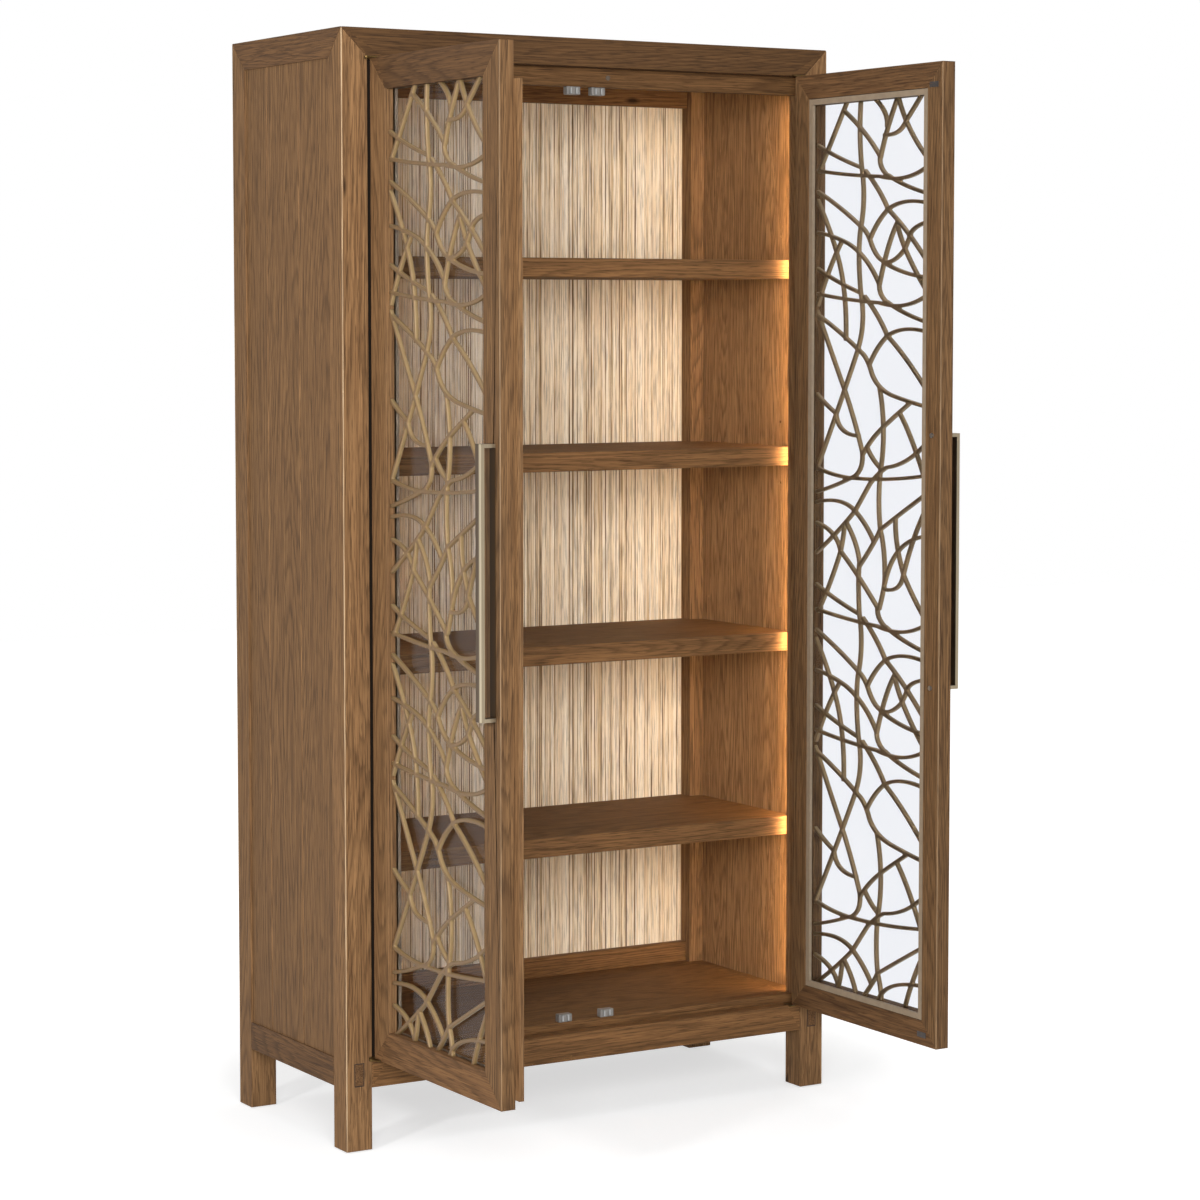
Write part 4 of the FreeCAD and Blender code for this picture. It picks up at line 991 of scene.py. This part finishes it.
def bronze_lacquer():
    """Painted shade, brown, where a bar faces the front or the back, and painted light, gold, on its
    sides.
    """
    finish, tree, shader = start_finish("bronze_lacquer_painted_light", {"Metallic": 0.15})
    place = add_node(tree, "TexCoord").outputs
    facing = add_node(tree, "SeparateXYZ", {0: place["Normal"]}).outputs[0]
    front = add_node(tree, "Math", {0: facing}, operation="ABSOLUTE").outputs[0]
    rubbed = add_node(tree, "TexNoise", {"Vector": place["Object"], "Scale": 1 / (RUB_MM * MM),
                                         "Detail": 4.0, "Roughness": 0.65}).outputs["Fac"]
    spread = add_node(tree, "Math", {0: rubbed, 1: RUB_SPREAD, 2: front},
                      operation="MULTIPLY_ADD").outputs[0]
    share = add_node(tree, "MapRange", {"Value": spread, "From Min": LIT_SIDE_RANGE[0],
                                        "From Max": LIT_SIDE_RANGE[1]}).outputs[0]
    # Paler gold paints light on the sides; darker brown paints shade on the fronts and backs.
    lit_side_gold = add_node(tree, "Mix", {0: rubbed, MIX_FROM: linear("#7d6642"), MIX_TO: linear("#a0855a")},
                    data_type="RGBA").outputs[MIXED]
    shaded_face_brown = add_node(tree, "Mix", {0: rubbed, MIX_FROM: linear("#5f482b"), MIX_TO: linear("#826645")},
                     data_type="RGBA").outputs[MIXED]
    colour = add_node(tree, "Mix", {0: share, MIX_FROM: lit_side_gold, MIX_TO: shaded_face_brown}, data_type="RGBA")
    rough = add_node(tree, "MapRange", {"Value": rubbed, "To Min": LACQUER_ROUGHNESS[0],
                                        "To Max": LACQUER_ROUGHNESS[1]})
    strokes = add_node(tree, "TexNoise", {"Vector": place["Object"], "Scale": 1 / (STROKE_MM * MM),
                                          "Detail": 3.0}).outputs["Fac"]
    bump = add_node(tree, "Bump", {"Strength": 0.35, "Distance": STROKE_DEPTH_MM * MM,
                                   "Height": strokes})
    feed(tree, shader, {"Base Color": colour.outputs[MIXED], "Roughness": rough.outputs[0],
                        "Normal": bump.outputs[0]})
    return finish


bronze = bronze_lacquer()
print("lacquer:", bronze.name)

# %% [markdown]
# The right door's fret is the left one in a mirror, as the CAD lattices are. A mirrored mesh is
# inside out, so its faces are turned.

# %% Hang the frets in both doors
right_skin = left_skin.copy()
for point in right_skin.vertices:
    point.co.x = -point.co.x
right_skin.flip_normals()
for side, skin in (("left", left_skin), ("right", right_skin)):
    hang(side + "_twig_fret", skin, bronze, side + "_door", "lattice_bronze", instead_of=side + "_lattice")
print("frets hung in both doors")

# %% [markdown]
# ## Camera
# The picture is taken from the left, a little above the middle, with a long lens, so the sides
# stay nearly parallel. The place was found by matching the corners of the frame. The lens is
# tilted down a little and shifted only as far as the framing asks.

# %% Camera
EYE = Vector((-3.189, -5.5285, 1.521))
HEADING, TILT = 31.13, -4.0
LENS_MM, SENSOR_MM, SHIFT = 99.18, 36.0, -0.045
lens = bpy.data.cameras.new("studio_camera")
lens.lens = LENS_MM
lens.sensor_width = SENSOR_MM
lens.shift_y = SHIFT
camera = bpy.data.objects.new("studio_camera", lens)
camera.location = EYE
camera.rotation_euler = (math.radians(90 + TILT), 0.0, math.radians(-HEADING))
bpy.context.scene.collection.objects.link(camera)
bpy.context.scene.camera = camera
print("camera at", list(EYE), "lens", lens.lens)

# %% [markdown]
# ## Studio
# A white studio has a floor and walls that read as white, and soft light from large boxes. The floor
# adds some white of its own where it is seen: full white from a little over a metre out, which
# paints over the cabinet's long shadow there, and less near the middle, a painted darker ground
# where the shadow under the cabinet stays. Seen through a door's glass it is as white as the sky,
# so no line shows where they meet.

# %% Floor
SEEN_RAYS = ("Is Camera Ray", "Is Glossy Ray", "Is Transmission Ray")
HALF_BOUNCE = 0.5
FLOOR_HALF = 9.0
SHADE_ENDS, SHADE_WHITE = (0.62, 1.15), 0.6
WHITE = (1, 1, 1, 1)


def seen_directly(tree, *kinds):
    """One for rays of these kinds that met no matt surface on their way, and nought for the rest."""
    path = add_node(tree, "LightPath").outputs
    seen = 0.0
    for kind in kinds:
        seen = add_node(tree, "Math", {0: path[kind], 1: seen}, operation="MAXIMUM").outputs[0]
    direct = add_node(tree, "Math", {0: path["Diffuse Depth"], 1: HALF_BOUNCE},
                      operation="LESS_THAN").outputs[0]
    return add_node(tree, "Math", {0: seen, 1: direct}, operation="MULTIPLY").outputs[0]


def studio_paper():
    """Matt white paper lifted to white where seen: painted white far out, a painted darker ground near the
    middle.
    """
    paper, tree, shader = start_finish("white_studio_floor", {
        "Roughness": 0.9, "Specular IOR Level": 0.0, "Base Color": linear("#cdcdcd"),
        "Emission Color": WHITE})
    spot = add_node(tree, "TexCoord").outputs["Object"]
    away = add_node(tree, "VectorMath", {0: spot}, operation="LENGTH").outputs["Value"]
    # The white grows with distance: painted white far out, a painted darker ground near the middle.
    white = add_node(tree, "MapRange", {"Value": away, "From Min": SHADE_ENDS[0],
                                        "From Max": SHADE_ENDS[1], "To Min": SHADE_WHITE}).outputs[0]
    lift = add_node(tree, "Math", {0: seen_directly(tree, *SEEN_RAYS), 1: white}, operation="MULTIPLY")
    feed(tree, shader, {"Emission Strength": lift.outputs[0]})
    plain_white = add_node(tree, "Emission", {"Color": WHITE, "Strength": 1.0}).outputs[0]
    behind_glass = add_node(tree, "MixShader", {0: seen_directly(tree, "Is Transmission Ray"),
                                                1: shader.outputs["BSDF"], 2: plain_white})
    feed(tree, tree.get_output_node("ALL"), {"Surface": behind_glass.outputs[0]})
    return paper


floor_mesh = bpy.data.meshes.new("studio_floor")
floor_mesh.from_pydata([(-FLOOR_HALF, -FLOOR_HALF, 0), (FLOOR_HALF, -FLOOR_HALF, 0),
                        (FLOOR_HALF, FLOOR_HALF, 0), (-FLOOR_HALF, FLOOR_HALF, 0)], [], [(0, 1, 2, 3)])
floor_mesh.materials.append(studio_paper())
floor = bpy.data.objects.new("studio_floor", floor_mesh)
bpy.context.scene.collection.objects.link(floor)
print("floor", 2 * FLOOR_HALF, "m wide")

# %% [markdown]
# The sky is white where it is seen, also in glass and metal, and gives an even, weaker light to
# everything else.

# %% Sky
SKY_LIGHT = 0.22
sky = bpy.data.worlds.new("white_studio")
sky.use_nodes = True
sky_tree = sky.node_tree
sky_tree.nodes.clear()
level = add_node(sky_tree, "MapRange", {"Value": seen_directly(sky_tree, *SEEN_RAYS),
                                        "To Min": SKY_LIGHT}).outputs[0]
ground = add_node(sky_tree, "Background", {"Color": WHITE, "Strength": level})
add_node(sky_tree, "OutputWorld", {"Surface": ground.outputs[0]})
bpy.context.scene.world = sky
print("sky light", SKY_LIGHT)

# %% [markdown]
# Three soft boxes light the cabinet: a large one beside the camera, a small one at the left for the
# side, and a weak one above. Each is turned to the cabinet's middle.

# %% Lamps
LAMPS = (
    ("key_box", (-2.9, -5.5, 2.2), 2.6, 315.0),
    ("left_box", (-5.0, -2.9, 2.2), 0.5, 130.0),
    ("top_box", (0.2, -0.4, 4.6), 3.2, 60.0),
)
AIM = Vector((0.0, -0.2, 1.0))
for name, spot, size, power in LAMPS:
    lamp = bpy.data.lights.new(name, "AREA")
    lamp.size = size
    lamp.energy = power
    box = bpy.data.objects.new(name, lamp)
    box.location = spot
    box.rotation_euler = (AIM - Vector(spot)).to_track_quat("-Z", "Y").to_euler()
    bpy.context.scene.collection.objects.link(box)
bpy.context.scene.view_settings.view_transform = "Standard"
print(len(LAMPS), "lamps")

# %% Finish
print("scene built")
